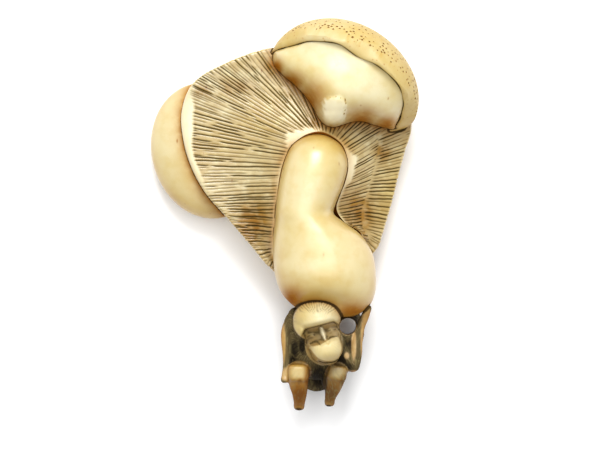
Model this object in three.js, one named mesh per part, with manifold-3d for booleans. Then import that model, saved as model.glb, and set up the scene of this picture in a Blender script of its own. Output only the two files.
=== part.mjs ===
// A netsuke: a monkey carrying a clump of three mushrooms, carved from one piece of ivory.
//
// Millimetres, +Z up. The carving lies on its back on the plane z = 0. X runs across the caps,
// +Y from the monkey's feet to the caps, and the origin is under the middle of the outline.
// The large cap shows its gills, with the stem across them. A bud with a closed veil lies over
// its upper right, and a round smooth cap is tucked behind its left edge. The monkey squats
// under the foot of the stem, and the cord passes through the crook of its raised arm.

import * as THREE from "three";
import { mergeVertices } from "three/addons/utils/BufferGeometryUtils.js";
import Module from "manifold-3d";

const wasm = await Module();
wasm.setup();

const IVORY = new THREE.MeshStandardMaterial({ color: 0xe3cf97, roughness: 0.35, metalness: 0 });

const { degToRad, clamp, smoothstep } = THREE.MathUtils;
const vector = (values) => new THREE.Vector3(...values);

// --- Driving dimensions ---------------------------------------------------------------------

const CENTRING = [0.19, -0.39]; // moves the outline's middle onto the origin

// Undersides flatten softly towards the table: from this height down, over this depth.
const SETTLE_FROM = 2.5;
const SETTLE_DEPTH = 2.9;

const CORD_HOLE_RADIUS = 1.3;
const CORD_HOLE_CENTRE = [9.6, -16.85];

// The large cap
const GILLS = 52; // ridges around it
const GILL_DEPTH = 0.45;
const GILL_RINGS = 4; // rings of points from the collar to the lip
const LIP_INSET = 0.45; // how far the gilled face stops short of the cap's outline
const LIP_DROP = 0.9; // how far the widest part of the cap lies below that face
const ROLLED_LIP = { x: -3, fade: 9 }; // left of x the gills run out before the lip
const DISH_DEPTH = 0.7; // hollow of the gilled face between collar and lip
const COLLAR_GROOVE_SHARE = 0.86; // the groove round the stem, as a share of the collar's size
const COLLAR_GROOVE_DEPTH = 1.2;
const CAP_BACK_RINGS = 5;
const CAP_FRONT_CENTRE = [4.2, 3.4, 9]; // inside the stem, where the face closes
const CAP_BACK_CENTRE = [2.5, 9, -1.6];

// The collar round the stem and the outline of the large cap, anticlockwise from the lower
// right. Each pair is the two ends of one gill: [collar x, y, z], [outline x, y, z].
const CAP_RIBS = [
  [[12.4, -3.2, 9.6], [14.1, -5.0, 7.4]],
  [[9.9, -0.8, 10.6], [15.1, -2.4, 7.2]],
  [[8.7, 1.4, 11.6], [15.9, 0.2, 7.0]],
  [[9.2, 3.6, 12.0], [16.8, 3.4, 6.9]],
  [[9.9, 5.4, 12.2], [17.6, 6.8, 6.9]],
  [[10.2, 7.6, 12.3], [18.5, 10.2, 7.0]],
  [[9.9, 9.8, 12.4], [19.5, 13.8, 7.2]],
  [[9.2, 11.5, 12.5], [18.6, 18.6, 7.6]],
  [[7.9, 12.8, 12.6], [14.2, 24.0, 8.4]],
  [[6.5, 13.6, 12.7], [6.2, 26.6, 9.6]],
  [[5.2, 13.9, 12.8], [-2.6, 26.0, 10.6]],
  [[3.9, 13.6, 12.8], [-9.3, 23.7, 10.8]],
  [[2.5, 12.9, 12.8], [-14.2, 20.7, 10.6]],
  [[1.2, 11.5, 12.6], [-16.0, 16.2, 10.2]],
  [[0.1, 9.7, 12.4], [-15.7, 11.6, 9.9]],
  [[-0.7, 7.2, 12.2], [-14.4, 7.4, 9.8]],
  [[-1.2, 4.2, 12.0], [-12.3, 3.6, 9.8]],
  [[-1.6, -0.5, 11.6], [-9.1, -0.1, 9.6]],
  [[-1.9, -4.3, 10.8], [-5.5, -4.3, 9.2]],
  [[-1.6, -6.6, 10.0], [-2.4, -7.9, 8.6]],
  [[2.2, -8.4, 8.6], [1.6, -10.4, 7.4]],
  [[8.6, -6.6, 8.6], [9.4, -9.0, 7.2]],
];

// Sections of the stem from its top to its foot: [y, left x, right x, middle z, half depth].
const STEM_SECTIONS = [
  [12.9, 4.85, 4.85, 11.0, 0],
  [12.3, 2.7, 6.85, 11.6, 2.3],
  [10.8, 0.85, 8.7, 12.0, 3.7],
  [8.3, -0.25, 9.55, 12.2, 4.5],
  [4.9, -1.0, 8.85, 12.4, 4.7],
  [2.15, -1.4, 7.75, 12.3, 4.8],
  [0.6, -1.55, 7.4, 12.2, 5.0],
  [-0.8, -1.6, 9.0, 12.0, 5.4],
  [-2.8, -1.85, 11.6, 11.8, 6.0],
  [-5.85, -1.9, 13.45, 11.6, 6.7],
  [-8.9, -1.6, 13.9, 11.4, 7.1],
  [-11.5, -0.7, 13.8, 11.3, 6.6],
  [-13.7, 1.3, 12.85, 11.1, 5.2],
  [-15.1, 4.1, 10.85, 10.9, 3.0],
  [-15.5, 7.3, 7.3, 10.9, 0],
];

// The bud: a round cap whose mouth looks up from the table and is closed by a smooth veil.
const BUD_MOUTH = vector([7.6, 19.3, 10.1]); // middle of its mouth
const BUD_HEADING = degToRad(60.6); // of its crown, in plan
const BUD_LEAN = degToRad(35); // how far its mouth looks up
const BUD_RADIUS = 12.3;
const BUD_SHIFT = 0.75; // of the crown across the mouth, to the right
const BUD_WIDEST = -1.3; // place of the widest ring along the axis out of the mouth
const BUD_CROWN_HEIGHT = 8.6;
// The hand-cut seam between lip and veil: [degrees round the mouth, radius].
const BUD_SEAM = [
  [0, 11.3], [17, 11.1], [34, 11.8], [50, 12.4], [68, 11.9], [87, 10.6], [106, 11.45],
  [126, 10.8], [150, 10.3], [180, 11.3], [225, 11.3], [270, 11.3], [315, 11.3],
];
// From the bottom of the seam up over the lip: [past the seam, out of the mouth].
const BUD_LIP = [[-0.1, -0.8], [0.0, 0.0], [0.3, 0.15], [0.8, -0.2]];

const VEIL_CROWN = vector([9.0, 20.4, 19.3]);
const VEIL_INSET = 0.3; // from the seam
const VEIL_EDGE_DROP = 0.15; // below the lip
// Its lower edge, from its left end to its right end, where it dives into the gills.
const VEIL_LOWER_EDGE = [
  [-1.46, 22.9, 10.4], [-0.1, 21.4, 10.8], [3.0, 18.3, 11.2], [4.7, 15.9, 11.4],
  [6.4, 14.9, 11.4], [10.2, 14.8, 10.6], [11.8, 14.8, 10.0], [13.3, 14.3, 9.4], [15.2, 13.6, 9.0],
];
const STALK = { spine: [[7.6, 19.0, 10], [7.35, 16.2, 15.2]], radii: [3.2, 2.1] };

const SIDE_CAP = { centre: [-12.05, 10.3, 3.5], radii: [8.75, 10.65, 4.8], turn: 14 };
const SIDE_STEM = {
  spine: [[-8.5, 5.5, 3.4], [-3.5, -0.8, 3.2], [2.0, -7.0, 3.8], [6.2, -12.6, 5.8]],
  radii: [4.2, 3.4, 3.4, 4.4],
};

// The monkey's forms: rounded lumps and bent limbs with round ends.
const LUMPS = [
  { centre: [5.0, -18.9, 6.0], radii: [5.75, 6.3, 7.0], turn: 0 }, // trunk
  { centre: [2.4, -16.6, 8.2], radii: [2.7, 2.6, 3.4], turn: 0 }, // left shoulder
  { centre: [8.9, -17.6, 6.4], radii: [3.3, 4.2, 5.0], turn: 0 }, // right flank, round the hole
  { centre: [4.75, -15.6, 12.2], radii: [3.7, 2.75, 4.7], turn: 10 }, // hair
  { centre: [2.8, -16.8, 12.2], radii: [1.7, 2.2, 3.7], turn: 16 }, // hair down the cheek
  { centre: [5.5, -17.9, 12.2], radii: [2.9, 3.4, 3.5], turn: 14 }, // face
  { centre: [6.3, -20.3, 13.0], radii: [2.25, 2.0, 3.5], turn: 16 }, // muzzle
  { centre: [6.65, -21.3, 12.2], radii: [1.6, 1.35, 2.7], turn: 16 }, // chin
];
const LIMBS = [
  // left arm
  {
    spine: [[1.8, -15.6, 8.8], [0.35, -17.9, 8.9], [0.5, -21.6, 9.4], [0.15, -24.4, 9.9]],
    radii: [1.8, 1.2, 1.1, 0.95],
  },
  // right upper arm and forearm
  { spine: [[8.2, -18.6, 8.4], [9.3, -20.8, 9.0], [10.2, -22.4, 9.6]], radii: [2.0, 1.8, 1.5] },
  {
    spine: [[10.2, -22.5, 9.4], [10.75, -19.6, 9.8], [11.5, -16.6, 10.4], [12.4, -14.3, 11.4]],
    radii: [1.5, 1.25, 1.1, 0.95],
  },
  // thighs and shins
  { spine: [[3.2, -21.6, 6.0], [2.5, -23.0, 9.0], [2.05, -24.0, 10.9]], radii: [2.7, 2.2, 1.65] },
  { spine: [[7.2, -21.6, 6.0], [7.7, -23.2, 9.0], [8.0, -24.2, 10.7]], radii: [2.7, 2.1, 1.55] },
  { spine: [[2.05, -24.1, 10.9], [1.95, -26.4, 8.8], [1.9, -28.6, 6.2]], radii: [1.62, 1.5, 1.15] },
  { spine: [[8.0, -24.3, 10.7], [7.6, -26.0, 8.9], [6.9, -28.2, 6.4]], radii: [1.55, 1.35, 1.0] },
];

// --- Solids ---------------------------------------------------------------------------------

// A closed geometry as a manifold solid, settled on the table, its shared vertices merged.
function solidOf(geometry) {
  const { position } = geometry.attributes;
  for (let i = 0; i < position.count; i++) {
    const below = SETTLE_FROM - position.getZ(i);
    if (below > 0) position.setZ(i, SETTLE_FROM - SETTLE_DEPTH * Math.tanh(below / SETTLE_DEPTH));
  }
  return manifoldOf(geometry);
}

function manifoldOf(geometry) {
  geometry.deleteAttribute("normal");
  geometry.deleteAttribute("uv");
  const merged = mergeVertices(geometry, 1e-4);
  const made = new wasm.Manifold(
    new wasm.Mesh({
      numProp: 3,
      vertProperties: merged.attributes.position.array,
      triVerts: new Uint32Array(merged.index.array),
    }),
  );
  if (made.volume() <= 0) throw new Error("a form is inside out");
  return made;
}

function geometryOf(solid) {
  const mesh = solid.getMesh();
  const geometry = new THREE.BufferGeometry();
  geometry.setAttribute("position", new THREE.BufferAttribute(new Float32Array(mesh.vertProperties), 3));
  geometry.setIndex(new THREE.BufferAttribute(new Uint32Array(mesh.triVerts), 1));
  geometry.computeVertexNormals();
  return geometry;
}

// --- Forms ----------------------------------------------------------------------------------

// A sphere's net of points, each put at place(share round, ring from the top pole down).
function net(around, rings, place) {
  const geometry = new THREE.SphereGeometry(1, around, rings);
  const { position, uv } = geometry.attributes;
  for (let i = 0; i < position.count; i++) {
    const atPole = uv.getY(i) === 0 || uv.getY(i) === 1;
    const round = atPole ? 0 : uv.getX(i) % 1;
    const p = place(round, Math.round((1 - uv.getY(i)) * rings));
    position.setXYZ(i, p.x, p.y, p.z);
  }
  return geometry;
}

// An ellipsoid, turned in plan by `turn` degrees.
function lump({ centre, radii, turn }, around = 16, down = 11) {
  return new THREE.SphereGeometry(1, around, down)
    .rotateX(Math.PI / 2)
    .scale(...radii)
    .rotateZ(degToRad(turn))
    .translate(...centre);
}

// A tube with round ends along a bent spine, its radius changing from point to point.
function limb({ spine, radii }, around = 10, along = 5, capRings = 2) {
  const path = new THREE.CatmullRomCurve3(spine.map(vector));
  const sizes = new THREE.SplineCurve(radii.map((r, i) => new THREE.Vector2(i, r)));
  const geometry = new THREE.CapsuleGeometry(1, 1, capRings, around, along);
  const { position } = geometry.attributes;
  const up = new THREE.Vector3(0, 0, 1);
  for (let i = 0; i < position.count; i++) {
    const share = clamp(position.getY(i) + 0.5, 0, 1);
    const beyond = position.getY(i) + 0.5 - share;
    const radius = sizes.getPoint(share).y;
    const ahead = path.getTangent(share);
    const side = new THREE.Vector3().crossVectors(ahead, up).normalize();
    const over = new THREE.Vector3().crossVectors(side, ahead);
    const p = path
      .getPoint(share)
      .addScaledVector(ahead, beyond * radius)
      .addScaledVector(side, position.getX(i) * radius)
      .addScaledVector(over, position.getZ(i) * radius);
    position.setXYZ(i, p.x, p.y, p.z);
  }
  return geometry;
}

// The stem, a loft through its sections, each an ellipse that stands across Y.
function stem() {
  const rings = 22;
  const edges = new THREE.CatmullRomCurve3(STEM_SECTIONS.map(([y, left, right]) => vector([left, y, right])));
  const depths = new THREE.CatmullRomCurve3(STEM_SECTIONS.map(([y, , , middle, half]) => vector([middle, y, half])));
  return net(26, rings, (round, ring) => {
    const edge = edges.getPoint(ring / rings);
    const depth = depths.getPoint(ring / rings);
    const angle = round * 2 * Math.PI;
    return vector([
      (edge.x + edge.z) / 2 - (Math.cos(angle) * Math.max(0, edge.z - edge.x)) / 2,
      edge.y,
      depth.x + Math.sin(angle) * Math.max(0, depth.z),
    ]);
  });
}

// The large cap: a gilled face from the groove round the stem out to the lip, a rounded edge,
// and a domed back.
function gilledCap() {
  const ribCurve = (end) => new THREE.CatmullRomCurve3(CAP_RIBS.map((rib) => vector(rib[end])), true);
  const collar = ribCurve(0);
  const outline = ribCurve(1);
  const frontCentre = vector(CAP_FRONT_CENTRE);
  const backCentre = vector(CAP_BACK_CENTRE);
  const columns = 2 * GILLS;
  const lastRing = 2 + GILL_RINGS + CAP_BACK_RINGS;

  return net(columns, lastRing + 1, (round, ring) => {
    const column = Math.round(round * columns);
    const inner = collar.getPoint(round);
    const outer = outline.getPoint(round);
    if (ring === 0) return frontCentre;
    if (ring === 1) {
      const groove = inner.clone().lerp(frontCentre, 1 - COLLAR_GROOVE_SHARE);
      groove.z = inner.z - COLLAR_GROOVE_DEPTH;
      return groove;
    }
    const outward = outer.clone().sub(inner).setZ(0).normalize();
    if (ring <= 1 + GILL_RINGS) {
      const share = (ring - 2) / (GILL_RINGS - 1);
      const lip = outer.clone().addScaledVector(outward, -LIP_INSET);
      const p = inner.clone().lerp(lip, share);
      const rolled = smoothstep(ROLLED_LIP.x - lip.x, 0, ROLLED_LIP.fade);
      const atLip = ring === 1 + GILL_RINGS;
      const valley = column % 2 === 1 && ring > 2 ? GILL_DEPTH * (atLip ? 1 - rolled : 1) : 0;
      p.z -= DISH_DEPTH * Math.sin(Math.PI * share) + valley;
      return p;
    }
    const angle = ((ring - 2 - GILL_RINGS) / (CAP_BACK_RINGS + 1)) * (Math.PI / 2);
    const p = outer.clone().lerp(backCentre, 1 - Math.cos(angle));
    p.z = backCentre.z + (outer.z - LIP_DROP - backCentre.z) * (1 - Math.sin(angle));
    return p;
  });
}

// A point of the bud: its angle round the mouth, radius, and distance out of the mouth.
function budPoint(angle, radius, out) {
  const across = vector([Math.sin(BUD_HEADING), -Math.cos(BUD_HEADING), 0]);
  const crownward = vector([Math.cos(BUD_HEADING), Math.sin(BUD_HEADING), 0]);
  const upward = crownward.clone().multiplyScalar(Math.sin(BUD_LEAN)).setZ(Math.cos(BUD_LEAN));
  const outward = crownward.clone().multiplyScalar(-Math.cos(BUD_LEAN)).setZ(Math.sin(BUD_LEAN));
  return BUD_MOUTH.clone()
    .addScaledVector(across, radius * Math.cos(angle))
    .addScaledVector(upward, radius * Math.sin(angle))
    .addScaledVector(outward, out);
}

// The radius of the seam at an angle round the mouth.
function seamRadius(angle) {
  const degrees = THREE.MathUtils.euclideanModulo(THREE.MathUtils.radToDeg(angle), 360);
  const ring = [...BUD_SEAM, [360, BUD_SEAM[0][1]]];
  const i = ring.findIndex(([to]) => degrees < to);
  const share = smoothstep(degrees, ring[i - 1][0], ring[i][0]);
  return ring[i - 1][1] + (ring[i][1] - ring[i - 1][1]) * share;
}

function budCap() {
  const crownRings = 7;
  const rings = 1 + BUD_LIP.length + crownRings;
  return net(36, rings, (round, ring) => {
    const angle = round * 2 * Math.PI;
    if (ring === 0) return budPoint(0, 0, -2);
    if (ring <= BUD_LIP.length) {
      const [past, out] = BUD_LIP[ring - 1];
      return budPoint(angle, seamRadius(angle) + past, out);
    }
    const fall = ((ring - BUD_LIP.length - 1) / crownRings) * (Math.PI / 2);
    const radius = (BUD_RADIUS + BUD_SHIFT * Math.cos(angle)) * Math.cos(fall);
    return budPoint(angle, radius, BUD_WIDEST - BUD_CROWN_HEIGHT * Math.sin(fall));
  });
}

// The veil: a cushion inside the seam, its lower edge cut off where the gills begin.
function veil() {
  const seam = [];
  for (let degrees = 176; degrees >= 2; degrees -= 14.5) {
    const angle = degToRad(degrees);
    const p = budPoint(angle, seamRadius(angle) - VEIL_INSET, 0);
    p.z -= VEIL_EDGE_DROP;
    seam.push(p);
  }
  const edge = new THREE.CatmullRomCurve3([...seam.reverse(), ...VEIL_LOWER_EDGE.map(vector)], true);
  const foot = VEIL_CROWN.clone().setZ(8);
  const shares = [0, 0.35, 0.6, 0.78, 0.9, 0.97, 1];
  return net(44, shares.length, (round, ring) => {
    if (ring === shares.length) return foot;
    const rim = edge.getPoint(round);
    const share = shares[ring];
    const p = VEIL_CROWN.clone().lerp(rim, share);
    p.z = rim.z + (VEIL_CROWN.z - rim.z) * Math.sqrt(1 - share ** 2.6);
    return p;
  });
}

// --- The carving ----------------------------------------------------------------------------

function carving() {
  const forms = [
    gilledCap(),
    stem(),
    budCap(),
    veil(),
    limb(STALK, 14, 2, 3),
    lump(SIDE_CAP, 24, 15),
    limb(SIDE_STEM, 12, 6, 3),
    ...LUMPS.map((form) => lump(form)),
    ...LIMBS.map((form) => limb(form)),
  ].map(solidOf);
  const joined = forms.reduce((whole, form) => whole.add(form));

  const table = manifoldOf(new THREE.BoxGeometry(100, 100, 20).translate(0, 0, -10));
  const cordHole = manifoldOf(
    new THREE.CylinderGeometry(CORD_HOLE_RADIUS, CORD_HOLE_RADIUS, 60, 24)
      .rotateX(Math.PI / 2)
      .translate(...CORD_HOLE_CENTRE, 0),
  );
  return joined.subtract(table).subtract(cordHole);
}

const netsuke = new THREE.Mesh(geometryOf(carving()).translate(...CENTRING, 0), IVORY);
netsuke.name = "netsuke";

const group = new THREE.Group();
group.add(netsuke);
export default group;
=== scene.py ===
# A polished ivory netsuke: a monkey squatting under a clump of three mushrooms, carved in one piece.
#
# The forms are modelled in millimetres in the carver's frame, as the solid is, and joined into one
# closed mesh. Fine relief is cut into them: the engraved gills, the pits of the bud's cap, the fur
# and the face. Fields kept on the mesh say where the stain lies and where shade and highlights are
# painted, and one material reads them.

import math
from itertools import product

import bpy
import numpy as np
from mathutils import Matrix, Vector, kdtree
from mathutils.bvhtree import BVHTree


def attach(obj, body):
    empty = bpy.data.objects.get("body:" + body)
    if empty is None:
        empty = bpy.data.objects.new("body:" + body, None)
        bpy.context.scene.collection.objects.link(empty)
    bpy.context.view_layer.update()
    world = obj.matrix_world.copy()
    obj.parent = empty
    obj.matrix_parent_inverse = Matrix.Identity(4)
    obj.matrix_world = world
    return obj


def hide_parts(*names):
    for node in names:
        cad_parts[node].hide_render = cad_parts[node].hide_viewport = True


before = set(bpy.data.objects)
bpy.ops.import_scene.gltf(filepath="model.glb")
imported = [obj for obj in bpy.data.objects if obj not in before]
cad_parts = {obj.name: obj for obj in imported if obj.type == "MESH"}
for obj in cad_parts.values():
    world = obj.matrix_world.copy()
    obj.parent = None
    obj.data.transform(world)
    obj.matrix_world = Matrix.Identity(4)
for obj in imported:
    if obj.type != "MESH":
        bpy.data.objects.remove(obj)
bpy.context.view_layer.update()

MM = 0.001
rng = np.random.default_rng(7)

# --- Driving dimensions, in millimetres -----------------------------------------------------------

CENTRING = np.array([0.19, -0.39, 0.0])  # moves the outline's middle onto the origin
SETTLE_FROM = 2.5  # undersides flatten softly towards the table from this height
SETTLE_DEPTH = 2.9

CORD_HOLE_RADIUS = 1.3
CORD_HOLE_CENTRE = (9.6, -16.85)

GILL_COLUMNS = 1200
FACE_RINGS = 32  # rings of points on the gilled face
LIP_RINGS = 4
CAP_BACK_RINGS = 9
GILL_PITCH = 0.54
OUTER_PITCH = 0.52  # of the outer tier of strokes at the right
TIER_REACH = 0.5  # how far out the outer tier starts
INNER_SLANT = 0.024  # how far the inner tier climbs on its way out, as a share of the way round
STROKE_HALF_WIDTH = 0.11
STROKE_DEPTH = 0.14
STROKE_LENGTHS = (5.0, 15.0)
STROKE_POINT = 0.7  # length of a stroke's tapering ends
SMOOTH_COLLAR_WIDTH = 1.7
HAIRLINE_ROUND = 14  # radius of the circle that the hairlines' pattern is wrapped on
HAIRLINE_STRETCH = 12  # how many times longer than wide the hairlines are
HAIRLINE_SIZE = 0.24
# Round patches seen from the front: x, y, half width, half height, and for some their strength.
SMOOTH_COLLARS = [(2.0, 12.6, 2.6, 2.2), (10.0, 7.0, 1.2, 4.0)]
DIRTY_PATCHES = [
    (-7.8, 19.9, 2.4, 1.1, 0.55), (-13.0, 19.2, 1.6, 0.9, 0.6), (-5.0, -0.8, 2.4, 3.2, 1.3),
    (11.4, 0.6, 2.2, 3.0, 1.2), (15.0, 10.2, 1.2, 1.5), (-2.2, 22.8, 1.3, 1.3, 0.8), (5.0, 14.6, 1.5, 0.8),
]
FINE_PATCHES = [(-8.5, 20.5, 7.0, 3.6), (3.6, 15.2, 1.6, 1.4)]  # where the strokes lie closest
VEIL_STAINS = [
    (4.2, 18.4, 2.4, 2.6), (1.2, 20.8, 2.2, 1.6), (11.8, 15.4, 2.8, 1.6), (15.4, 14.4, 2.0, 1.2),
    (-1.2, 22.9, 1.0, 1.4),
]
BULB_STAINS = [(1.0, -12.6, 1.9, 2.2), (4.5, -14.0, 3.6, 1.6), (10.2, -14.4, 3.2, 1.6)]

# The worn end of the broken stalk, on the veil: x, y, half width, half height.
KNOB = (7.45, 16.15, 1.75, 2.0)
KNOB_SQUARENESS = 3
KNOB_RISE = 0.3  # of its middle above the veil
KNOB_TILT = 0.34  # how much more it rises towards its lower end
# Small nicks at its edge: x, y, size.
KNOB_NICKS = [
    (9.1, 17.75, 0.14), (9.2, 17.3, 0.11), (9.1, 16.25, 0.1), (8.95, 15.7, 0.16), (8.4, 18.1, 0.06),
    (7.7, 18.3, 0.07), (6.8, 18.2, 0.05),
]
NECK_DIP = {"place": (5.2, -13.4), "size": (3.5, 1.5), "depth": 1.6}  # where the head leans on the bulb
UNDER_LIP = 0.7  # how far its crease's dirt reaches under the large cap's lip
# How wide the rolled lip at the left is: y, width.
LIP_BANDS = [
    (1.1, 0.8), (3.9, 1.4), (6.2, 1.1), (8.8, 0.9), (11.4, 1.2), (13.9, 1.85), (17.7, 1.7), (19.9, 0.8),
]
LIP_DROP = 0.9
DISH_DEPTH = 0.7
COLLAR_GROOVE_SHARE = 0.86
COLLAR_GROOVE_DEPTH = 1.2
CAP_FRONT_CENTRE = (4.2, 3.4, 9)
CAP_BACK_CENTRE = (2.5, 9, -1.6)

# The two ends of each rib of the large cap, anticlockwise from the lower right: its end at the
# collar round the stem, and its end on the outline.
CAP_RIBS = [
    [(11.75, -2.8, 9.8), (14.1, -5.0, 7.4)],
    [(8.95, -0.65, 10.8), (15.1, -2.4, 7.2)],
    [(7.85, 1.3, 11.6), (15.9, 0.2, 7.0)],
    [(8.5, 3.6, 12.0), (16.8, 3.4, 6.9)],
    [(9.2, 5.4, 12.2), (17.6, 6.8, 6.9)],
    [(9.65, 7.6, 12.3), (18.5, 10.2, 7.0)],
    [(9.35, 9.7, 12.4), (19.5, 13.8, 7.2)],
    [(8.65, 11.2, 12.5), (18.6, 18.6, 7.6)],
    [(7.45, 12.25, 12.6), (14.2, 24.0, 8.4)],
    [(6.25, 12.9, 12.7), (6.2, 26.6, 9.6)],
    [(5.0, 13.12, 12.8), (-2.6, 26.0, 10.6)],
    [(3.8, 12.9, 12.8), (-9.3, 23.7, 10.8)],
    [(2.6, 12.35, 12.8), (-14.2, 20.7, 10.6)],
    [(1.2, 11.25, 12.6), (-16.0, 16.2, 10.2)],
    [(0.15, 9.6, 12.4), (-15.7, 11.6, 9.9)],
    [(-0.7, 7.2, 12.2), (-14.4, 7.4, 9.8)],
    [(-1.2, 4.2, 12.0), (-12.3, 3.6, 9.8)],
    [(-1.6, -0.5, 11.6), (-9.1, -0.1, 9.6)],
    [(-1.9, -4.3, 10.8), (-5.5, -4.3, 9.2)],
    [(-1.6, -6.6, 10.0), (-2.4, -7.9, 8.6)],
    [(2.2, -8.4, 8.6), (1.6, -10.4, 7.4)],
    [(8.6, -6.6, 8.6), (9.4, -9.0, 7.2)],
]

# Sections of the stem from its top to its foot: y, left x, right x, middle z, half depth.
STEM_SECTIONS = [
    (12.9, 4.85, 4.85, 11.0, 0),
    (12.3, 2.7, 6.85, 11.6, 2.3),
    (10.8, 0.85, 8.7, 12.0, 3.7),
    (8.3, -0.25, 9.55, 12.2, 4.5),
    (4.9, -1.0, 8.85, 12.4, 4.7),
    (2.15, -1.4, 7.75, 12.3, 4.8),
    (0.6, -1.55, 7.4, 12.2, 5.0),
    (-0.8, -1.6, 9.0, 12.0, 5.4),
    (-2.8, -1.85, 11.6, 11.8, 6.0),
    (-5.85, -1.9, 13.45, 11.6, 6.7),
    (-8.9, -1.6, 13.9, 11.4, 7.1),
    (-11.5, -0.7, 13.8, 11.2, 6.4),
    (-13.7, 1.3, 12.85, 10.9, 4.8),
    (-15.1, 4.1, 10.85, 10.8, 2.8),
    (-15.5, 7.3, 7.3, 10.9, 0),
]

BUD_MOUTH = np.array([7.6, 19.3, 10.1])
BUD_HEADING = math.radians(60.6)
BUD_LEAN = math.radians(35)
BUD_RADIUS = 12.3
BUD_SHIFT = 0.75
BUD_TUCK = 0.9  # how far its right end draws in towards the large cap
BUD_WIDEST = -1.3
BUD_CROWN_HEIGHT = 8.6
# How far out the bud's wavy seam lies: degrees round its mouth, radius.
BUD_SEAM = [
    (0, 10.8), (17, 11.1), (34, 11.8), (50, 12.4), (68, 11.9), (87, 10.6), (106, 11.45),
    (126, 10.8), (150, 10.3), (180, 11.3), (225, 11.3), (270, 11.3), (315, 10.6), (345, 10.1),
    (360, 10.8),
]
# The lip's section from inside the mouth outwards: beyond the seam, out of the mouth.
BUD_LIP = [
    (-0.35, -1.4), (-0.12, -0.8), (-0.02, -0.3), (0.02, -0.05), (0.08, 0.04), (0.2, 0.05), (0.5, -0.1),
    (0.85, -0.4),
]
BUD_LIP_INSET = 0.1  # the lip stays within the crown's widest ring by this much
BUD_INSIDE = -2.5  # how far out of its mouth the middle of its hidden inside lies

PIT_COUNT = 500
PIT_GAP = 0.46
PIT_SIZES = (0.11, 0.23)
PIT_CLUSTERS = [
    (1.8, 28.2, 2.2, 1.2), (8.8, 27.7, 2.6, 1.3), (16.1, 24.0, 2.8, 3.0), (19.6, 19.5, 1.4, 3.2),
]

VEIL_CROWN = np.array([8.7, 20.0, 19.3])
VEIL_INSET = 0.14
VEIL_FALL = 0.04
VEIL_ROUNDING = 3.4
VEIL_EDGE_DROP = 0.15
VEIL_FOOT = 8.0  # height of the veil's hidden foot
VEIL_HEM = 8.6  # and of the ring just above it
VEIL_LOWER_EDGE = [
    (-1.8, 23.4, 10.4), (-0.6, 22.0, 10.7), (1.6, 20.1, 11.0), (3.1, 18.5, 11.2), (4.3, 16.7, 11.4),
    (5.2, 15.0, 11.5), (6.1, 14.1, 11.5), (7.3, 13.75, 11.4), (8.6, 14.1, 11.2), (10.2, 14.6, 10.8),
    (11.8, 14.7, 10.2), (13.6, 14.2, 9.6), (15.3, 13.75, 9.1), (16.6, 13.5, 8.8),
]

SIDE_CAP = {"centre": (-12.05, 10.3, 3.5), "radii": (8.75, 10.65, 4.8), "turn": 14}
SIDE_STEM = {
    "spine": [(-8.5, 5.5, 3.4), (-3.5, -0.8, 3.2), (2.0, -7.0, 3.8), (6.2, -12.6, 5.8)],
    "radii": [4.2, 3.4, 3.4, 4.4],
}

MONKEY_LUMPS = {
    "trunk": {"centre": (5.0, -18.9, 6.0), "radii": (5.7, 6.3, 7.0)},
    "rump": {"centre": (4.8, -22.4, 2.6), "radii": (3.7, 4.7, 3.4)},
    "left_shoulder": {"centre": (2.4, -16.6, 8.2), "radii": (2.7, 2.6, 3.4)},
    "right_flank": {"centre": (8.9, -17.6, 5.2), "radii": (3.3, 4.2, 6.2)},
    "hair": {"centre": (4.85, -15.35, 12.2), "radii": (3.75, 2.95, 5.1), "turn": 10},
    "cheek_hair": {"centre": (2.85, -17.2, 12.0), "radii": (1.6, 2.3, 3.6), "turn": 18},
    "face": {"centre": (5.5, -17.9, 12.2), "radii": (2.9, 3.4, 3.5), "turn": 14},
    "muzzle": {"centre": (6.3, -20.2, 13.0), "radii": (2.45, 2.05, 3.5), "turn": 16, "power": 2.4},
    "chin": {"centre": (6.65, -21.3, 12.2), "radii": (1.7, 1.4, 2.7), "turn": 16},
    "left_knee": {"centre": (2.0, -24.0, 10.3), "radii": (1.62, 1.4, 1.9), "power": 4},
    "right_knee": {"centre": (7.95, -24.0, 10.1), "radii": (1.5, 1.3, 1.8), "turn": -12, "power": 4},
    "inner_calf": {"centre": (6.7, -24.9, 8.2), "radii": (1.25, 2.3, 2.0), "turn": 6},
    "left_foot": {"centre": (2.1, -29.1, 6.4), "radii": (0.85, 0.8, 1.25), "power": 2.6},
    "right_foot": {"centre": (6.8, -28.5, 6.6), "radii": (0.8, 0.8, 1.2), "power": 2.6},
    "left_hand": {"centre": (-0.1, -25.0, 10.0), "radii": (0.62, 0.55, 0.8), "power": 2.6},
}
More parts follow.
